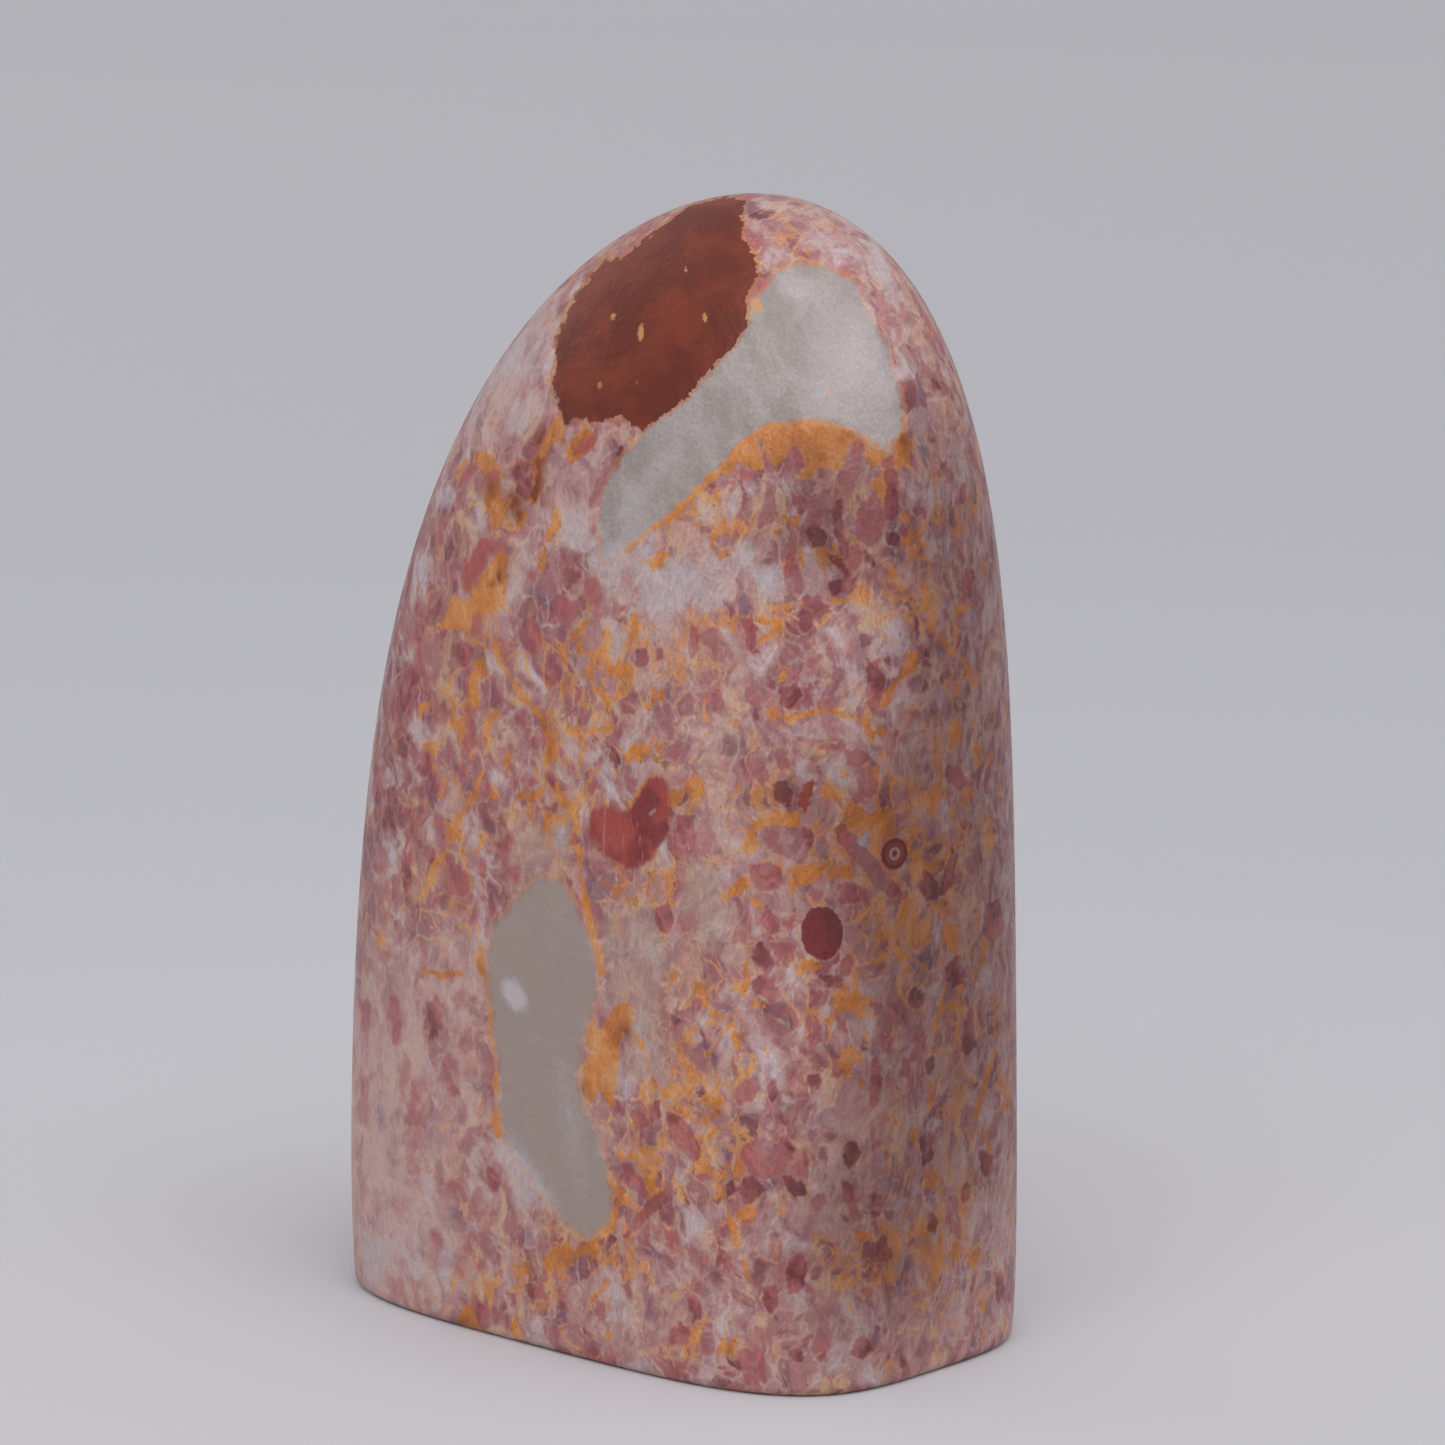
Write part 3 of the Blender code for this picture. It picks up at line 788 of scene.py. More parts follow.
    (0.3, [(456, 1142), (470, 1133), (478, 1145), (468, 1157), (457, 1151)]),
    (0.4, [(740, 1155), (750, 1141), (765, 1137), (779, 1147), (787, 1160), (779, 1174),
         (765, 1180), (751, 1174)]),
    (0.2, [(745, 1176), (758, 1179), (764, 1190), (756, 1207), (742, 1204), (737, 1190)]),
    (0.1, [(725, 1182), (732, 1179), (737, 1190), (728, 1197)]),
    (0.35, [(739, 1224), (748, 1221), (752, 1232), (741, 1237)]),
    (0.08, [(789, 1262), (800, 1254), (808, 1268), (803, 1287), (789, 1292), (787, 1280)]),
    (0.2, [(764, 1287), (774, 1284), (780, 1300), (770, 1317), (763, 1306)]),
    (0.55, [(687, 1245), (702, 1241), (710, 1258), (701, 1274), (687, 1267)]),
    (0.35, [(723, 1257), (733, 1255), (734, 1273), (725, 1272)]),
    (0.25, [(689, 1299), (698, 1297), (702, 1315), (693, 1324)]),
    (0.35, [(700, 1334), (712, 1331), (717, 1350), (701, 1357)]),
    (0.05, [(783, 1175), (800, 1181), (807, 1195), (793, 1198), (785, 1188)]),
    (0.3, [(814, 1195), (825, 1189), (830, 1205), (816, 1214), (811, 1205)]),
    (0.1, [(845, 1144), (856, 1141), (862, 1155), (850, 1167), (844, 1155)]),
    (0.2, [(842, 1179), (850, 1184), (857, 1200), (862, 1218), (852, 1224), (845, 1205)]),
    (0.2, [(877, 1239), (886, 1235), (890, 1255), (882, 1270), (875, 1258)]),
    (0.25, [(859, 1288), (872, 1282), (878, 1295), (866, 1304)]),
    (0.12, [(853, 1340), (866, 1333), (872, 1350), (862, 1361), (852, 1353)]),
    (0.1, [(801, 1337), (813, 1335), (811, 1346), (803, 1346)]),
    (0.12, [(789, 1349), (803, 1347), (801, 1360), (790, 1359)]),
    (0.02, [(917, 1134), (931, 1131), (934, 1160), (922, 1164)]),
    (0.08, [(961, 1184), (969, 1181), (967, 1202), (960, 1200)]),
    (0.1, [(929, 1213), (939, 1222), (935, 1235), (928, 1228)]),
    (0.15, [(944, 1214), (958, 1221), (962, 1240), (950, 1234)]),
    (0.08, [(977, 1149), (990, 1154), (994, 1179), (982, 1177)]),
    (0.2, [(994, 1275), (1002, 1266), (1007, 1290), (998, 1303)]),
    (0.25, [(668, 1330), (680, 1319), (692, 1330), (686, 1347), (669, 1344)]),
]
# tone, half width, then the points that the long fragment passes
CLAST_STREAKS = [
    (0.4, 4.0, [(412, 605), (410, 626)]),
    (0.15, 7.0, [(424, 623), (421, 652), (418, 667), (406, 689), (397, 709)]),
    (0.25, 7.0, [(436, 640), (437, 667), (431, 681)]),
    (0.3, 4.0, [(433, 681), (438, 703), (438, 724)]), (0.05, 4.0, [(447, 713), (447, 719)]),
    (0.25, 6.0, [(461, 649), (462, 659)]), (0.4, 5.0, [(477, 619), (477, 628)]),
    (0.5, 4.0, [(499, 614), (502, 631)]), (0.3, 5.0, [(521, 675), (528, 684), (535, 689)]),
    (0.4, 6.0, [(471, 711), (471, 740)]), (0.3, 4.0, [(399, 728), (399, 740)]),
    (0.25, 6.0, [(380, 769), (377, 799)]), (0.25, 6.0, [(381, 851), (381, 869)]),
    (0.25, 6.0, [(379, 884), (382, 898)]), (0.45, 5.0, [(438, 819), (439, 850)]),
    (0.35, 4.0, [(421, 796), (422, 813)]), (0.3, 4.0, [(412, 810), (411, 828)]),
    (0.25, 5.0, [(424, 758), (433, 787)]), (0.4, 4.0, [(466, 743), (462, 777)]),
    (0.2, 5.0, [(502, 816), (502, 823)]), (0.2, 4.0, [(491, 893), (493, 912)]),
    (0.25, 5.0, [(431, 897), (431, 905)]), (0.15, 5.0, [(550, 775), (553, 788)]),
    (0.35, 5.0, [(364, 1080), (362, 1120)]), (0.4, 6.0, [(395, 1000), (397, 1040)]),
    (0.4, 6.0, [(415, 1085), (410, 1120)]), (0.45, 7.0, [(450, 1060), (455, 1090)]),
]
HEART_OUTLINE = [
    (590, 811), (598, 807), (606, 807), (611, 810), (617, 812), (623, 812), (629, 807), (634, 800),
    (640, 792), (646, 784), (650, 778), (656, 774), (664, 777), (669, 786), (671, 796), (670, 808),
    (669, 820), (671, 829), (667, 838), (661, 846), (656, 854), (651, 861), (642, 866), (631, 868),
    (621, 866), (612, 862), (605, 856), (598, 846), (591, 838), (588, 829), (589, 818),
]
RED_OUTLINES = [
    [(466, 598), (461, 589), (461, 576), (465, 563), (472, 552), (482, 541), (490, 535), (496, 538),
     (495, 548), (490, 556), (486, 566), (479, 579), (472, 589)],
    [(454, 487), (461, 476), (469, 465), (476, 464), (475, 471), (468, 479), (461, 486),
     (455, 490)],
    [(486, 474), (494, 468), (500, 472), (498, 482), (488, 484)],
    [(584, 442), (593, 434), (596, 442), (588, 452), (574, 456), (572, 448)],
]
# half width, then the points that a dark crack passes
CRACKS = [
    (0.9, [(563, 445), (565, 431), (569, 418)]), (0.6, [(574, 421), (578, 427), (579, 433)]),
    (0.5, [(875, 1250), (882, 1272), (884, 1298), (890, 1320)]),
    (0.4, [(772, 604), (800, 598), (828, 601), (850, 594), (868, 592)]),
    (0.4, [(707, 1163), (712, 1150), (706, 1136)]), (2.4, [(556, 1351), (559, 1350)]),
]
# half width, then the points that a pale line passes: a scratch at the top left, and lines across
# the heart that are partly scratches, partly a painted highlight
SCRATCHES_AND_HIGHLIGHT = [
    (2.0, [(569, 438), (572, 428)]), (0.7, [(605, 806), (604, 832), (604, 856)]),
    (0.9, [(637, 822), (641, 846), (644, 866)]), (0.5, [(630, 808), (631, 824)]),
    (2.2, [(650, 814), (655, 810)]), (0.4, [(622, 816), (624, 850)]),
]
ROUND_CLAST = (822, 933, 21, 27, -3)
# The ring's middle; its tones are in millimetres from there
RING_MIDDLE = (893, 852)
RING_REACH_MM = 1.5
EMBER_OUTLINE = [(799, 790), (813, 779), (813, 795), (805, 811), (797, 803)]


def zone(spots, ovals):
    """Soft weight of these ovals at each spot, which adds up where they overlap."""
    total = np.zeros(len(spots))
    for x, y, half_width, half_height, lean, strength in ovals:
        share = oval_share(spots, x, y, half_width, half_height, lean)
        total += strength * np.exp(-((share / OVAL_REACH) ** OVAL_FALL))
    return total


class Side:
    """The half of the stone that a camera sees, and the pixel of each vertex in its picture."""

    def __init__(self, spots, facing):
        self.spots = spots
        self.seen = np.clip((facing - SEEN_FROM) / SEEN_OVER, 0, 1)
        self.closing = CLOSING * np.clip(EDGE_ON - facing, 0, None) / EDGE_ON

    def outlines(self, lists):
        return [outline_distance(self.spots, corners) + self.closing for corners in lists]

    def paths(self, lists):
        return [path_distance(self.spots, width, path) + self.closing for width, path in lists]

    def ovals(self, lists):
        return [oval_distance(self.spots, *oval) + self.closing for oval in lists]

    def zone(self, lists):
        return self.seen * zone(self.spots, lists)


def both_sides(camera, points, normals):
    """(front, back). The back repeats some of the markings, turned, mirrored and moved up."""
    turn = np.array((-1.0, -1.0, 1.0))
    front = Side(camera.pixels(points), camera.facing(points, normals))
    spots = camera.pixels(points * turn)
    spots[:, 0] = BACK_MIRROR - spots[:, 0]
    spots[:, 1] += BACK_RISE
    return front, Side(spots, camera.facing(points * turn, normals * turn))


def nearest_of(distances):
    """Distance in millimetres to the nearest of these markings, given theirs in pixels."""
    return MM_PER_PX * np.min(np.array(distances), axis=0)


def marking_fields(camera, points, normals):
    """{field name: one number per vertex}. Distances are in millimetres, weights from 0 up."""
    front, back = both_sides(camera, points, normals)
    clast_outlines = [corners for _, corners in CLASTS]
    clast_paths = [(width, path) for _, width, path in CLAST_STREAKS]
    clasts = []
    for side in (front, back):
        clasts += side.outlines(clast_outlines) + side.paths(clast_paths)
    clasts = np.array(clasts)
    tones = np.array([clast[0] for clast in CLASTS + CLAST_STREAKS] * 2)
    unseen = 1 - front.seen
    return {
        "brick": nearest_of(front.outlines([BRICK_OUTLINE])),
        "fleck": nearest_of(front.ovals(PALE_FLECKS)),
        "upper_grey": nearest_of(front.outlines([UPPER_GREY_OUTLINE])),
        "lower_grey": nearest_of(
            front.outlines([LOWER_GREY_OUTLINE]) + back.outlines([LOWER_GREY_OUTLINE])
        ),
        "ochre_edge": nearest_of(front.outlines(OCHRE_PATCHES) + back.outlines(OCHRE_PATCHES)),
        "vein": nearest_of(
            front.paths(OCHRE_VEINS) + front.outlines(OCHRE_SOLIDS)
            + back.paths(OCHRE_VEINS) + back.outlines(OCHRE_SOLIDS)
        ),
        "clast": nearest_of(clasts),
        "clast_tone": tones[np.argmin(clasts, axis=0)],
        "heart": nearest_of(front.outlines([HEART_OUTLINE])),
        "red": nearest_of(front.outlines(RED_OUTLINES) + back.outlines(RED_OUTLINES)),
        "scratch_and_highlight": nearest_of(front.paths(SCRATCHES_AND_HIGHLIGHT)),
        "crack": nearest_of(front.paths(CRACKS)),
        "round": nearest_of(front.ovals([ROUND_CLAST])),
        "ember": nearest_of(front.outlines([EMBER_OUTLINE])),
        "white": front.zone(WHITE_OVALS) + back.zone(WHITE_OVALS),
        # Pale veils, partly a painted reflection along the left edge and the top
        "fog": front.zone(FOG_AND_SHEEN_OVALS) + back.zone(FOG_AND_SHEEN_OVALS) + UNSEEN_FOG * unseen,
        "calm": front.zone(CALM_OVALS) + back.zone(CALM_OVALS),
        "ochre": front.zone(OCHRE_OVALS) + back.zone(OCHRE_OVALS) + UNSEEN_OCHRE * unseen,
        # Painted shade on the right-hand side, partly the stone's own darker colour; a little on
        # the unseen part
        "dark": front.zone(SHADE_AND_DARK_OVALS) + UNSEEN_DARK * unseen,
        "reddish": front.zone(REDDISH_OVALS) + back.zone(REDDISH_OVALS),
        "brown": front.zone(BROWN_STAINS) + back.zone(BROWN_STAINS),
        # Lavender streaking, partly a painted reflection down the right edge
        "cool": front.zone(COOL_AND_SHEEN_OVALS) + UNSEEN_COOL * unseen,
        "soft": front.seen * np.clip((SHARP_FROM - front.spots[:, 0]) / SHARP_OVER, 0, 1),
    }


def add_fields(mesh, fields):
    for name, values in fields.items():
        attribute = mesh.attributes.new(name, "FLOAT", "POINT")
        attribute.data.foreach_set("value", values.astype(np.float32))


# Materials


class Recipe:
    """Adds nodes to one material's tree. Each call gives the socket that it makes."""

    def __init__(self, material):
        material.use_nodes = True
        self.tree = material.node_tree
        self.shader = self.tree.nodes["Principled BSDF"]
        self.place = self.node("TexCoord").outputs["Object"]

    def node(self, kind, sockets=None, **settings):
        made = self.tree.nodes.new("ShaderNode" + kind)
        for name, value in settings.items():
            setattr(made, name, value)
        for name, value in (sockets or {}).items():
            self.feed(made.inputs[name], value)
        return made

    def feed(self, socket, value):
        if isinstance(value, bpy.types.NodeSocket):
            self.tree.links.new(value, socket)
        else:
            socket.default_value = value

    def math(self, operation, first, second=0.0):
        made = self.node("Math", {0: first, 1: second}, operation=operation)
        return made.outputs[0]

    def add(self, *values):
        total = values[0]
        for value in values[1:]:
            total = self.math("ADD", total, value)
        return total

    def times(self, *values):
        total = values[0]
        for value in values[1:]:
            total = self.math("MULTIPLY", total, value)
        return total

    def swing(self, noise, reach):
        """Noise from 0 to 1 turned into a move either way, by up to half of this reach."""
        return self.times(self.math("SUBTRACT", noise, 0.5), reach)

    def vector(self, operation, first, second):
        made = self.node("VectorMath", {0: first, 1: second}, operation=operation)
        return made.outputs[0]

    def step(self, value, start, end, low=0.0, high=1.0):
        """Eases from low to high as value goes from start to end."""
        made = self.node(
            "MapRange",
            {"Value": value, "From Min": start, "From Max": end, "To Min": low, "To Max": high},
            interpolation_type="SMOOTHSTEP",
        )
        return made.outputs["Result"]

    def mix(self, share, first, second, blend="MIX"):
        made = self.node("Mix", {0: share, 6: first, 7: second}, data_type="RGBA", blend_type=blend)
        return made.outputs[2]

    def noise(self, place, size, detail=2.0, roughness=0.5):
        """Noise with features of about this size, in the units of place."""
        sockets = {"Vector": place, "Scale": 1 / size, "Detail": detail, "Roughness": roughness}
        return self.node("TexNoise", sockets)

    def cells(self, place, size, feature="F1", randomness=1.0):
        sockets = {"Vector": place, "Scale": 1 / size, "Randomness": randomness}
        return self.node("TexVoronoi", sockets, feature=feature)

    def field(self, name):
        return self.node("Attribute", attribute_name=name).outputs["Fac"]

    def ramp(self, value, stops):
        """Runs through the colours of the stops, which are (value, colour) in rising order."""
        made = self.node("ValToRGB", {0: value})
        elements = made.color_ramp.elements
        while len(elements) < len(stops):
            elements.new(1.0)
        for element, (position, colour) in zip(elements, stops):
            element.position = position
            element.color = colour
        return made.outputs[0]

    def parts(self, colour):
        return self.node("SeparateColor", {0: colour}).outputs


def srgb(red, green, blue):
    """A colour given as screen values from 0 to 255, as the linear colour that shaders take."""
    shares = np.array((red, green, blue)) / 255
    linear = np.where(shares <= 0.04045, shares / 12.92, ((shares + 0.055) / 1.055) ** 2.4)
    return (*(float(v) for v in linear), 1.0)


MAUVE = srgb(191, 163, 160)
LAVENDER = srgb(199, 184, 190)
FOG = srgb(199, 166, 160)
ROSE_BROWN = srgb(180, 132, 121)
ROSE_PALE = srgb(198, 159, 141)
PEACH = srgb(204, 164, 131)
DUSKY = srgb(158, 104, 106)
MAROON = srgb(148, 74, 80)
RED_ROSE = srgb(176, 98, 98)
PINK_CLAST = srgb(179, 131, 129)
PURPLE = srgb(122, 88, 104)
CALM_GREY = srgb(178, 150, 138)
DEEP_MAROON = srgb(112, 44, 48)
CRIMSON = srgb(166, 72, 64)
DARK_CRIMSON = srgb(126, 46, 48)
EMBER = srgb(150, 66, 50)
RED_CLAY = srgb(168, 84, 80)
OCHRE = srgb(205, 129, 60)
DEEP_OCHRE = srgb(182, 109, 50)
PALE_OCHRE = srgb(212, 154, 100)
RUST = srgb(128, 62, 34)
BRICK = srgb(127, 54, 32)
DARK_BRICK = srgb(106, 42, 28)
BROWN_GREY = srgb(162, 145, 136)
GREY = srgb(156, 146, 140)
PALE_GREY = srgb(172, 162, 158)
CALCITE_WHITE = srgb(190, 180, 182)
SPECK = srgb(96, 60, 42)
CRACK = srgb(92, 68, 66)
# Multiplied in as painted shade on the right-hand side, partly the stone's own browner colour
SHADE_AND_BROWN = srgb(184, 171, 170)
# Floor tones, brighter near the stone and far out: a painted falloff of the light
FLOOR_NEAR = srgb(208, 207, 211)
FLOOR_MIDDLE = srgb(198, 198, 203)
FLOOR_FAR = srgb(196, 196, 201)


def warped(recipe, place, size, reach, detail=1.0):
    """The place, moved about by noise of this size and reach."""
    noise = recipe.noise(place, size, detail, 0.6).outputs["Color"]
    moved = recipe.vector("SUBTRACT", noise, (0.5, 0.5, 0.5))
    moved = recipe.vector("MULTIPLY", moved, (reach, reach, reach))
    return recipe.vector("ADD", place, moved)


def streaked(recipe, place, lean_x, lean_y, stretch):
    """The place in a frame that leans by these degrees, squeezed so that textures come out long."""
    turned = recipe.node(
        "VectorRotate",
        {"Vector": place, "Rotation": (math.radians(lean_y), -math.radians(lean_x), 0.0)},
        rotation_type="EULER_XYZ",
    ).outputs[0]
    return recipe.vector("MULTIPLY", turned, (1.0, 1.0, 1 / stretch))


class Mosaic:
    """Close-fitting fragments, each in one tone, and the seams between them."""

    def __init__(self, recipe, place, size):
        cell = recipe.cells(place, size)
        picks = recipe.parts(cell.outputs["Color"])
        self.recipe = recipe
        self.tone, self.weight = picks[0], picks[1]
        self.seam = recipe.cells(place, size, "DISTANCE_TO_EDGE").outputs["Distance"]

    def cover(self, least, most, soft):
        """How much each fragment hides what is under it, fading towards its seams."""
        inside = self.recipe.step(self.seam, 0.0, soft)
        return self.recipe.times(inside, self.recipe.step(self.weight, 0.0, 1.0, least, most))

    def filling(self, reach, soft):
        """1 in the seams up to this reach from their middle."""
        past = self.recipe.math("SUBTRACT", self.seam, reach)
        return self.recipe.step(past, -soft, soft, 1.0, 0.0)


class Breccia:
    """Works out the stone's colour, from the ground to the placed markings."""

    def __init__(self, recipe, ring_place):
        self.recipe = recipe
        self.ring_place = ring_place
        mm = recipe.vector("MULTIPLY", recipe.place, (1000.0, 1000.0, 1000.0))
        self.mm = mm
        wavy = warped(recipe, mm, 6.0, 3.2, 1.0)
        ragged = warped(recipe, wavy, 1.4, 1.1, 2.0)
        self.grain = streaked(recipe, ragged, 12, 5, 1.4)
        self.cross = streaked(recipe, ragged, -32, 10, 1.7)
        self.fibre = streaked(recipe, ragged, 10, 8, 4.0)
        self.cloud = recipe.noise(wavy, 5.0, 2.0, 0.5).outputs[0]
        self.mottle = recipe.noise(self.grain, 2.6, 3.0, 0.58).outputs[0]
        self.veil = recipe.noise(self.cross, 3.0, 3.0, 0.58).outputs[0]
        self.wisp = recipe.noise(self.grain, 2.3, 3.0, 0.60).outputs[0]
        self.fine = recipe.noise(mm, 0.30, 1.0, 0.6).outputs[0]
        self.lump = recipe.noise(mm, 0.9, 1.0, 0.5).outputs[0]
        self.streak = recipe.noise(self.fibre, 0.34, 2.0, 0.6).outputs[0]
        self.hair = recipe.noise(self.fibre, 0.9, 2.0, 0.6).outputs[0]
        self.coarse = Mosaic(recipe, self.grain, 2.1)
        self.small = Mosaic(recipe, self.cross, 0.95)
        fine = recipe.math("SUBTRACT", self.fine, 0.5)
        lump = recipe.math("SUBTRACT", self.lump, 0.5)
        self.edge = recipe.add(recipe.times(fine, 0.5), recipe.times(lump, 1.0))
        thinner = recipe.times(recipe.math("SUBTRACT", 0.5, self.wisp), 4.0)
        self.torn = recipe.add(thinner, recipe.times(fine, 0.9), 0.12)
        self.worn = recipe.add(
            recipe.swing(self.mottle, 1.3), recipe.times(lump, 0.6)
        )
        # Painted shade and light of the fine relief, from the same noises as the bump
        self.relief_shade = recipe.times(recipe.add(self.lump, self.fine), 0.5)
        self.white = recipe.field("white")
        self.fog = recipe.field("fog")
        self.calm = recipe.field("calm")
        self.dark = recipe.field("dark")
        self.reddish = recipe.field("reddish")
        self.ochre = recipe.field("ochre")
        self.soft = recipe.field("soft")

    def ground(self):
        """The cement between the fragments: soft clouds of mauve, peach and lavender."""
        recipe = self.recipe
        warm = recipe.ramp(
            self.mottle,
            [(0.37, RED_ROSE), (0.44, DUSKY), (0.50, ROSE_BROWN), (0.56, ROSE_PALE), (0.63, PEACH)],
        )
        cool = recipe.ramp(
            self.veil,
            [(0.38, PURPLE), (0.44, DUSKY), (0.51, PINK_CLAST), (0.59, MAUVE), (0.70, LAVENDER)],
        )
        colour = recipe.mix(recipe.step(self.cloud, 0.42, 0.58), warm, cool)
        rosy = recipe.step(self.reddish, 0.0, 1.2, 0.0, 0.7)
        return recipe.mix(recipe.times(rosy, recipe.step(self.veil, 0.62, 0.46)), colour, MAROON)

    def with_fragments(self, colour):
        recipe = self.recipe
        worn = recipe.times(
            recipe.step(self.veil, 0.62, 0.46, 0.4, 1.0), recipe.step(self.soft, 0.0, 1.0, 1.0, 0.6)
        )
        rosy = recipe.step(self.reddish, 0.0, 1.2, 0.0, 0.35)
        tone = recipe.ramp(
            recipe.math("SUBTRACT", self.coarse.tone, rosy),
            [(0.04, DEEP_MAROON), (0.18, MAROON), (0.36, RED_ROSE), (0.52, DUSKY),
             (0.76, PINK_CLAST), (1.0, MAUVE)],
        )
        colour = recipe.mix(recipe.times(self.coarse.cover(0.0, 0.9, 0.14), worn), colour, tone)
        tone = recipe.ramp(
            recipe.math("SUBTRACT", self.small.tone, rosy),
            [(0.04, DEEP_MAROON), (0.16, MAROON), (0.30, PURPLE), (0.48, RED_ROSE),
             (0.68, ROSE_BROWN), (1.0, ROSE_PALE)],
        )
        return recipe.mix(recipe.times(self.small.cover(-0.4, 0.8, 0.20), worn), colour, tone)

    def ochre_tone(self, paleness):
        """Ochre that runs from orange to tan."""
        recipe = self.recipe
        tone = recipe.ramp(self.veil, [(0.36, DEEP_OCHRE), (0.50, OCHRE), (0.64, PALE_OCHRE)])
        return recipe.mix(recipe.step(self.mottle, 0.40, 0.60, paleness, 0.0), tone, PEACH)

    def with_ochre(self, colour):
        """Seams between the fragments: pale ones, and a web of ochre that swells into blotches."""
        recipe = self.recipe
        swell = recipe.swing(self.wisp, 3.4)
        drive = recipe.add(self.ochre, swell, WEB_EVERYWHERE)
        ragged = recipe.swing(self.fine, 0.08)
        wide = recipe.add(recipe.step(drive, 0.0, 1.8, -0.03, 0.22), ragged)
        thin = recipe.add(recipe.step(drive, 0.1, 1.8, -0.05, 0.20), ragged)
        pale = recipe.times(self.coarse.filling(0.05, 0.05), recipe.step(self.cloud, 0.42, 0.58))
        pale = recipe.times(pale, recipe.step(self.small.tone, 0.2, 1.0, 0.0, 0.45))
        colour = recipe.mix(pale, colour, LAVENDER)
        cover = recipe.math(
            "MAXIMUM", self.coarse.filling(wide, 0.03), self.small.filling(thin, 0.05)
        )
        self.ochre_cover = cover
        halo = recipe.times(self.coarse.filling(wide, 0.14), 0.4)
        colour = recipe.mix(halo, colour, PEACH)
        paleness = recipe.step(drive, 0.2, 1.1, 0.9, 0.1)
        return recipe.mix(recipe.times(cover, 0.88), colour, self.ochre_tone(paleness))

    def with_fog(self, colour):
        """Pale cement that veils the fragments, along the left edge and the top partly a painted
        reflection, calm beige windows, and whitish flakes.
        """
        recipe = self.recipe
        # Along the left edge and the top this pale veil is partly a painted reflection
        veil = recipe.step(self.mottle, 0.34, 0.62, 0.45, 1.0)
        thick = recipe.times(recipe.step(self.fog, 0.0, 1.2, 0.0, 0.85), veil)
        colour = recipe.mix(thick, colour, FOG)
        calm = recipe.add(self.calm, recipe.swing(self.cloud, 1.5))
        colour = recipe.mix(recipe.step(calm, 0.2, 1.0, 0.0, 0.65), colour, CALM_GREY)
        flakes = recipe.add(self.white, recipe.swing(self.veil, 3.0))
        return recipe.mix(recipe.step(flakes, 0.3, 1.1, 0.0, 0.55), colour, CALCITE_WHITE)

    def with_streaks(self, colour):
        """Lavender and purple streaks where the cool weight is high, partly a painted reflection
        along the right edge, and thin pale hairlines that are painted glints.
        """
        recipe = self.recipe
        tone = recipe.ramp(
            self.hair, [(0.34, PURPLE), (0.46, DUSKY), (0.54, MAUVE), (0.64, LAVENDER)]
        )
        where = recipe.add(recipe.field("cool"), recipe.swing(self.wisp, -3.0))
        colour = recipe.mix(recipe.step(where, 0.2, 1.3, 0.0, 0.55), colour, tone)
        # Pale hairlines along the grain: painted glints of the polish
        off = recipe.math("ABSOLUTE", recipe.math("SUBTRACT", self.hair, 0.5))
        hair = recipe.step(off, 0.0, 0.022, 1.0, 0.0)
        hair = recipe.times(hair, recipe.step(self.veil, 0.46, 0.62))
        return recipe.mix(recipe.times(hair, 0.3), colour, CALCITE_WHITE)

    def placed(self, colour, name, tone, ragged, soft=0.1, strength=0.95):
        """Lays a tone where the named distance field is negative, with a ragged edge."""
        recipe = self.recipe
        gap = recipe.add(recipe.field(name), ragged)
        width = recipe.add(recipe.times(self.soft, 0.3), soft)
        low = recipe.times(width, -1.0)
        return recipe.mix(recipe.step(gap, low, width, strength, 0.0), colour, tone), gap

    def rim_of(self, colour, gap, width, tone, strength):
        """Lays a tone in a band just outside a placed marking."""
        recipe = self.recipe
        outside = recipe.step(gap, -0.05, 0.1)
        band = recipe.times(outside, recipe.step(gap, width / 2, width, 1.0, 0.0))
        return recipe.mix(recipe.times(band, strength), colour, tone)

    def with_markings(self, colour):
        recipe = self.recipe
        patch = recipe.add(recipe.field("ochre_edge"), self.torn)
        vein = recipe.add(recipe.field("vein"), recipe.times(self.torn, 0.4))
        gap = recipe.math("MINIMUM", patch, vein)
        solid = recipe.step(gap, -0.1, 0.1, 0.92, 0.0)
        self.ochre_cover = recipe.math("MAXIMUM", self.ochre_cover, solid)
        colour = recipe.mix(solid, colour, self.ochre_tone(0.0))
        stain = recipe.times(recipe.field("brown"), recipe.step(self.mottle, 0.38, 0.56))
        colour = recipe.mix(recipe.times(stain, 0.85), colour, RUST)
        tone = recipe.ramp(
            recipe.add(recipe.field("clast_tone"), recipe.step(self.veil, 0.38, 0.62, -0.12, 0.3)),
            [(0.0, DEEP_MAROON), (0.2, MAROON), (0.4, RED_ROSE), (0.6, DUSKY), (0.8, PINK_CLAST),
             (1.0, MAUVE)],
        )
        colour, gap = self.placed(colour, "clast", tone, self.worn, 0.16, 0.8)
        return self.rim_of(colour, gap, 0.3, ROSE_PALE, 0.15)

    def with_signs(self, colour):
        """The heart-shaped, round and red fragments, the scratches, partly a painted highlight
        across the heart, the cracks, and the ring.
        """
        recipe = self.recipe
        crimson = recipe.mix(recipe.step(self.cloud, 0.42, 0.58), CRIMSON, DARK_CRIMSON)
        colour, _ = self.placed(colour, "heart", crimson, recipe.times(self.worn, 0.7), 0.3)
        colour, _ = self.placed(colour, "red", RED_CLAY, recipe.times(self.worn, 0.7), 0.2, 0.9)
        thin = recipe.times(self.edge, 0.1)
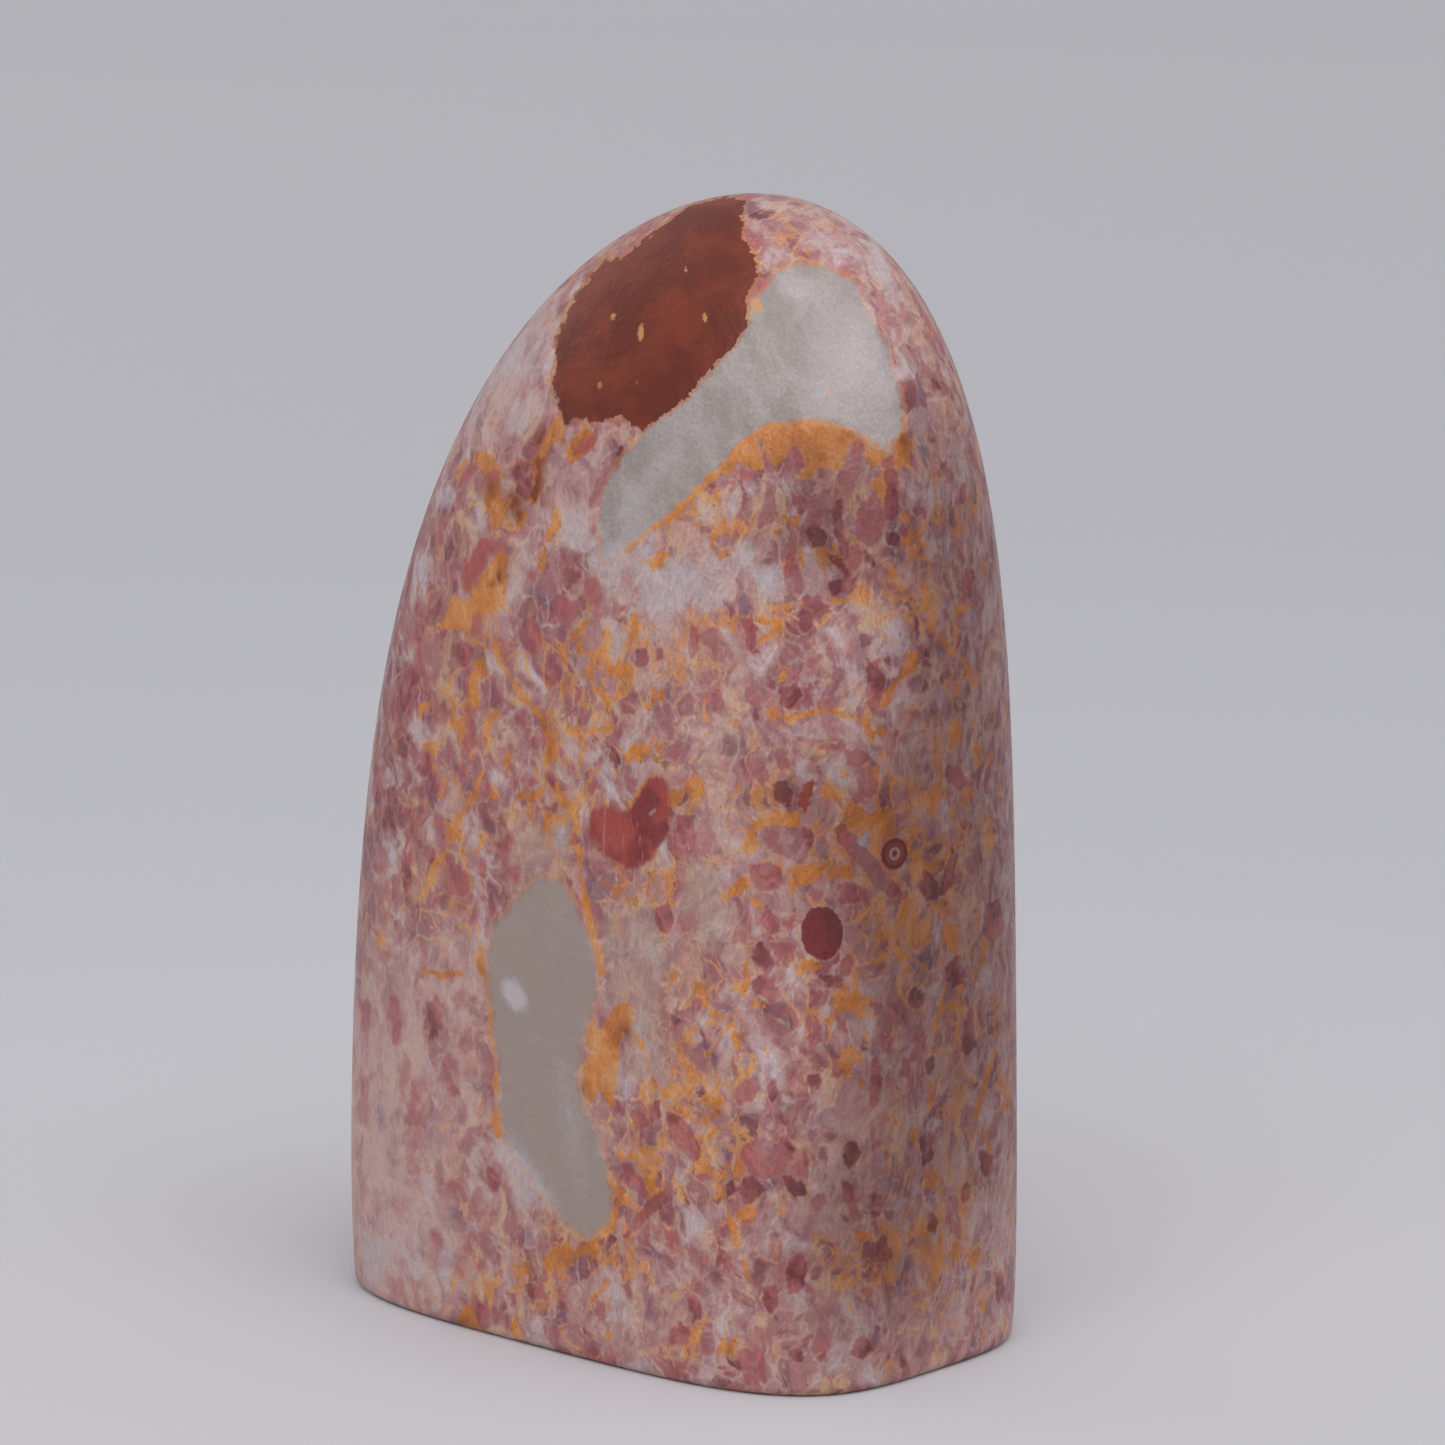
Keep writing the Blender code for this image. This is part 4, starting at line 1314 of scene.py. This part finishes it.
        # Pale lines: scratches, and across the heart partly a painted highlight
        colour, _ = self.placed(colour, "scratch_and_highlight", FOG, thin, 0.06, 0.4)
        colour, _ = self.placed(colour, "crack", CRACK, thin, 0.06, 0.7)
        dull = recipe.mix(recipe.step(self.cloud, 0.42, 0.58), DARK_CRIMSON, DEEP_MAROON)
        colour, gap = self.placed(colour, "round", dull, recipe.times(self.edge, 0.4), 0.12)
        colour = self.rim_of(colour, gap, 0.25, ROSE_PALE, 0.3)
        colour, _ = self.placed(colour, "ember", EMBER, self.edge, 0.12)
        return self.with_ring(colour)

    def with_ring(self, colour):
        """A small ring-shaped marking, in rings of crimson and pale rose."""
        recipe = self.recipe
        away = recipe.vector("SUBTRACT", recipe.place, self.ring_place)
        reach = recipe.node("VectorMath", {0: away}, operation="LENGTH").outputs["Value"]
        ragged = recipe.times(self.edge, 0.12)
        share = recipe.add(recipe.times(reach, 1000 / RING_REACH_MM), ragged)
        tone = recipe.ramp(
            share,
            [(0.10, DARK_CRIMSON), (0.20, PINK_CLAST), (0.36, ROSE_PALE), (0.46, DARK_CRIMSON),
             (0.62, CRIMSON), (0.74, DEEP_MAROON), (0.95, DARK_CRIMSON)],
        )
        return recipe.mix(recipe.step(share, 0.92, 1.06, 0.95, 0.0), colour, tone)

    def with_shade_and_brown(self, colour):
        """Darkens the right-hand side with painted shade, partly also the stone's own darker,
        browner colour there, and the unseen part a little.
        """
        recipe = self.recipe
        shade_share = recipe.step(self.dark, 0.0, 1.1)
        return recipe.mix(shade_share, colour, SHADE_AND_BROWN, "MULTIPLY")

    def with_patches(self, colour):
        """The two grey patches, and the brick-red oval with its flecks, each with an ochre rim."""
        recipe = self.recipe
        pale = recipe.mix(recipe.step(self.veil, 0.36, 0.66), GREY, PALE_GREY)
        pale = recipe.mix(recipe.step(self.white, 0.1, 1.1, 0.0, 0.7), pale, CALCITE_WHITE)
        speckled = recipe.step(self.fine, 0.3, 0.7, 0.92, 1.07)
        pale = recipe.mix(1.0, pale, speckled, "MULTIPLY")
        fading = recipe.step(self.white, 0.1, 0.9, 0.14, 0.75)
        covered, gap = self.placed(colour, "upper_grey", pale, self.edge, fading)
        colour = self.rim_of(covered, gap, 0.5, PALE_OCHRE, 0.3)
        dim = recipe.mix(recipe.step(self.cloud, 0.38, 0.62, 0.0, 0.5), BROWN_GREY, GREY)
        shine = recipe.add(self.white, recipe.swing(self.streak, 0.8))
        dim = recipe.mix(recipe.step(shine, 0.1, 1.3), dim, CALCITE_WHITE)
        covered, gap = self.placed(colour, "lower_grey", dim, self.edge, 0.34)
        colour = self.rim_of(covered, gap, 0.5, PALE_OCHRE, 0.3)
        brick_tone = recipe.mix(recipe.step(self.cloud, 0.36, 0.64), BRICK, DARK_BRICK)
        covered, gap = self.placed(colour, "brick", brick_tone, self.edge, 0.06, 1.0)
        colour = self.rim_of(covered, gap, 0.4, DEEP_OCHRE, 0.5)
        ragged = recipe.times(self.edge, 0.3)
        colour, _ = self.placed(colour, "fleck", PALE_OCHRE, ragged, 0.08, 0.8)
        return colour

    def with_grain(self, colour):
        """Dark pores in the ochre; over all but the patches, light and dark streaks, partly grain
        and partly painted glints, and painted shade of the fine relief.
        """
        recipe = self.recipe
        pore = recipe.times(recipe.step(self.fine, 0.25, 0.31, 0.6, 0.0), self.ochre_cover)
        colour = recipe.mix(pore, colour, SPECK)
        smooth = recipe.times(self.soft, 0.06)
        low = recipe.add(0.89, smooth)
        high = recipe.math("SUBTRACT", 1.12, smooth)
        streaks = recipe.step(self.streak, 0.30, 0.70, low, high)
        # Painted shade of the fine relief; the streaks are partly grain, partly painted glints
        relief_shade = recipe.step(self.relief_shade, 0.30, 0.70, 0.94, 1.06)
        return recipe.mix(1.0, colour, recipe.times(streaks, relief_shade), "MULTIPLY")


def stone_material(ring_place):
    material = bpy.data.materials.new("polished_calcite_breccia")
    recipe = Recipe(material)
    breccia = Breccia(recipe, ring_place)
    colour = breccia.ground()
    colour = breccia.with_fragments(colour)
    colour = breccia.with_streaks(colour)
    colour = breccia.with_ochre(colour)
    colour = breccia.with_fog(colour)
    colour = breccia.with_markings(colour)
    colour = breccia.with_signs(colour)
    colour = breccia.with_shade_and_brown(colour)
    colour = breccia.with_grain(colour)
    colour = breccia.with_patches(colour)
    recipe.feed(recipe.shader.inputs["Base Color"], colour)
    height = recipe.node("SeparateXYZ", {0: breccia.mm}).outputs[2]
    sawn = recipe.step(height, 0.0, 0.4, SAWN_ROUGHNESS, 0.0)
    polish = recipe.step(breccia.fine, 0.3, 0.7, ROUGHNESS_LOW, ROUGHNESS_HIGH)
    roughness = recipe.add(polish, sawn)
    recipe.feed(recipe.shader.inputs["Roughness"], roughness)
    relief = recipe.add(breccia.lump, recipe.times(breccia.fine, 0.35))
    sockets = {"Height": relief, "Strength": RELIEF_STRENGTH, "Distance": RELIEF_DEPTH}
    bump = recipe.node("Bump", sockets)
    recipe.feed(recipe.shader.inputs["Normal"], bump.outputs[0])
    recipe.shader.inputs["IOR"].default_value = STONE_IOR
    return material


def floor_material():
    """Matte and pale, a little darker in the middle distance: a painted falloff of the light."""
    material = bpy.data.materials.new("studio_floor")
    recipe = Recipe(material)
    reach = recipe.node("VectorMath", {0: recipe.place}, operation="LENGTH").outputs["Value"]
    tone = recipe.ramp(
        recipe.math("DIVIDE", reach, FLOOR_REACH),
        [(0.03, FLOOR_NEAR), (0.12, FLOOR_MIDDLE), (0.30, FLOOR_FAR), (0.85, FLOOR_NEAR)],
    )
    recipe.feed(recipe.shader.inputs["Base Color"], tone)
    recipe.shader.inputs["Roughness"].default_value = FLOOR_ROUGHNESS
    return material


# Stage


def make_stage():
    """A pale floor that rises into a low wall all round, beyond the camera."""
    profile = [(FLOOR_REACH * n / 8, 0.0) for n in range(1, 9)]
    for n in range(1, 13):
        turn = math.pi / 2 * n / 12
        rise = FLOOR_BEND * (1 - math.cos(turn))
        profile.append((FLOOR_REACH + FLOOR_BEND * math.sin(turn), rise))
    sides = FLOOR_SIDES
    points = []
    faces = []
    for reach, height in profile:
        for n in range(sides):
            turn = 2 * math.pi * n / sides
            points.append((reach * math.cos(turn), reach * math.sin(turn), height))
    points.append((0.0, 0.0, 0.0))
    middle = len(points) - 1
    for n in range(sides):
        faces.append((middle, n, (n + 1) % sides))
    for ring in range(len(profile) - 1):
        low = ring * sides
        high = low + sides
        for n in range(sides):
            after = (n + 1) % sides
            faces.append((low + n, high + n, high + after, low + after))
    mesh = bpy.data.meshes.new("studio_floor")
    mesh.from_pydata(points, [], faces)
    mesh.shade_smooth()
    mesh.materials.append(floor_material())
    floor = bpy.data.objects.new("studio_floor", mesh)
    bpy.context.scene.collection.objects.link(floor)


def softbox(name, azimuth, elevation, reach, side, power):
    """A square soft light that faces the stone; azimuth 0 is in front of the -Y face."""
    turn = math.radians(azimuth)
    rise = math.radians(elevation)
    data = bpy.data.lights.new(name, "AREA")
    data.shape = "SQUARE"
    data.size = side
    data.energy = power
    lamp = bpy.data.objects.new(name, data)
    away = Vector((
        math.sin(turn) * math.cos(rise), -math.cos(turn) * math.cos(rise), math.sin(rise)
    ))
    lamp.location = reach * away + Vector((0, 0, 0.05))
    lamp.rotation_mode = "QUATERNION"
    lamp.rotation_quaternion = away.to_track_quat("Z", "Y")
    bpy.context.scene.collection.objects.link(lamp)


def make_world():
    """Soft light from all round, brighter overhead and towards the camera's right."""
    world = bpy.data.worlds.new("studio")
    bpy.context.scene.world = world
    world.use_nodes = True
    tree = world.node_tree
    background = tree.nodes["Background"]
    background.inputs["Color"].default_value = SKY_COLOUR
    where = tree.nodes.new("ShaderNodeTexCoord")
    towards = tree.nodes.new("ShaderNodeVectorMath")
    towards.operation = "DOT_PRODUCT"
    towards.inputs[1].default_value = BRIGHT_SIDE
    tree.links.new(where.outputs["Generated"], towards.inputs[0])
    ease = tree.nodes.new("ShaderNodeMapRange")
    ease.interpolation_type = "SMOOTHSTEP"
    ease.inputs["From Min"].default_value = -1.0
    ease.inputs["From Max"].default_value = 1.0
    ease.inputs["To Min"].default_value = SKY_LOW
    ease.inputs["To Max"].default_value = SKY_HIGH
    tree.links.new(towards.outputs["Value"], ease.inputs["Value"])
    tree.links.new(ease.outputs["Result"], background.inputs["Strength"])


def make_lights():
    make_world()
    for values in SOFTBOXES:
        softbox(*values)
    bpy.context.scene.view_settings.view_transform = "Standard"


def make_stone():
    mesh, shift = stone_mesh()
    camera = PhotoCamera(-shift)
    camera.make()
    points, normals = vertex_arrays(mesh)
    add_fields(mesh, marking_fields(camera, points, normals))
    ring_place = camera.point_at(RING_MIDDLE, points, normals)
    mesh.materials.append(stone_material(ring_place))
    stone = bpy.data.objects.new(PIECE, mesh)
    bpy.context.scene.collection.objects.link(stone)
    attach(stone, "root")
    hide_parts("calcite_freeform")


make_stone()
make_stage()
make_lights()
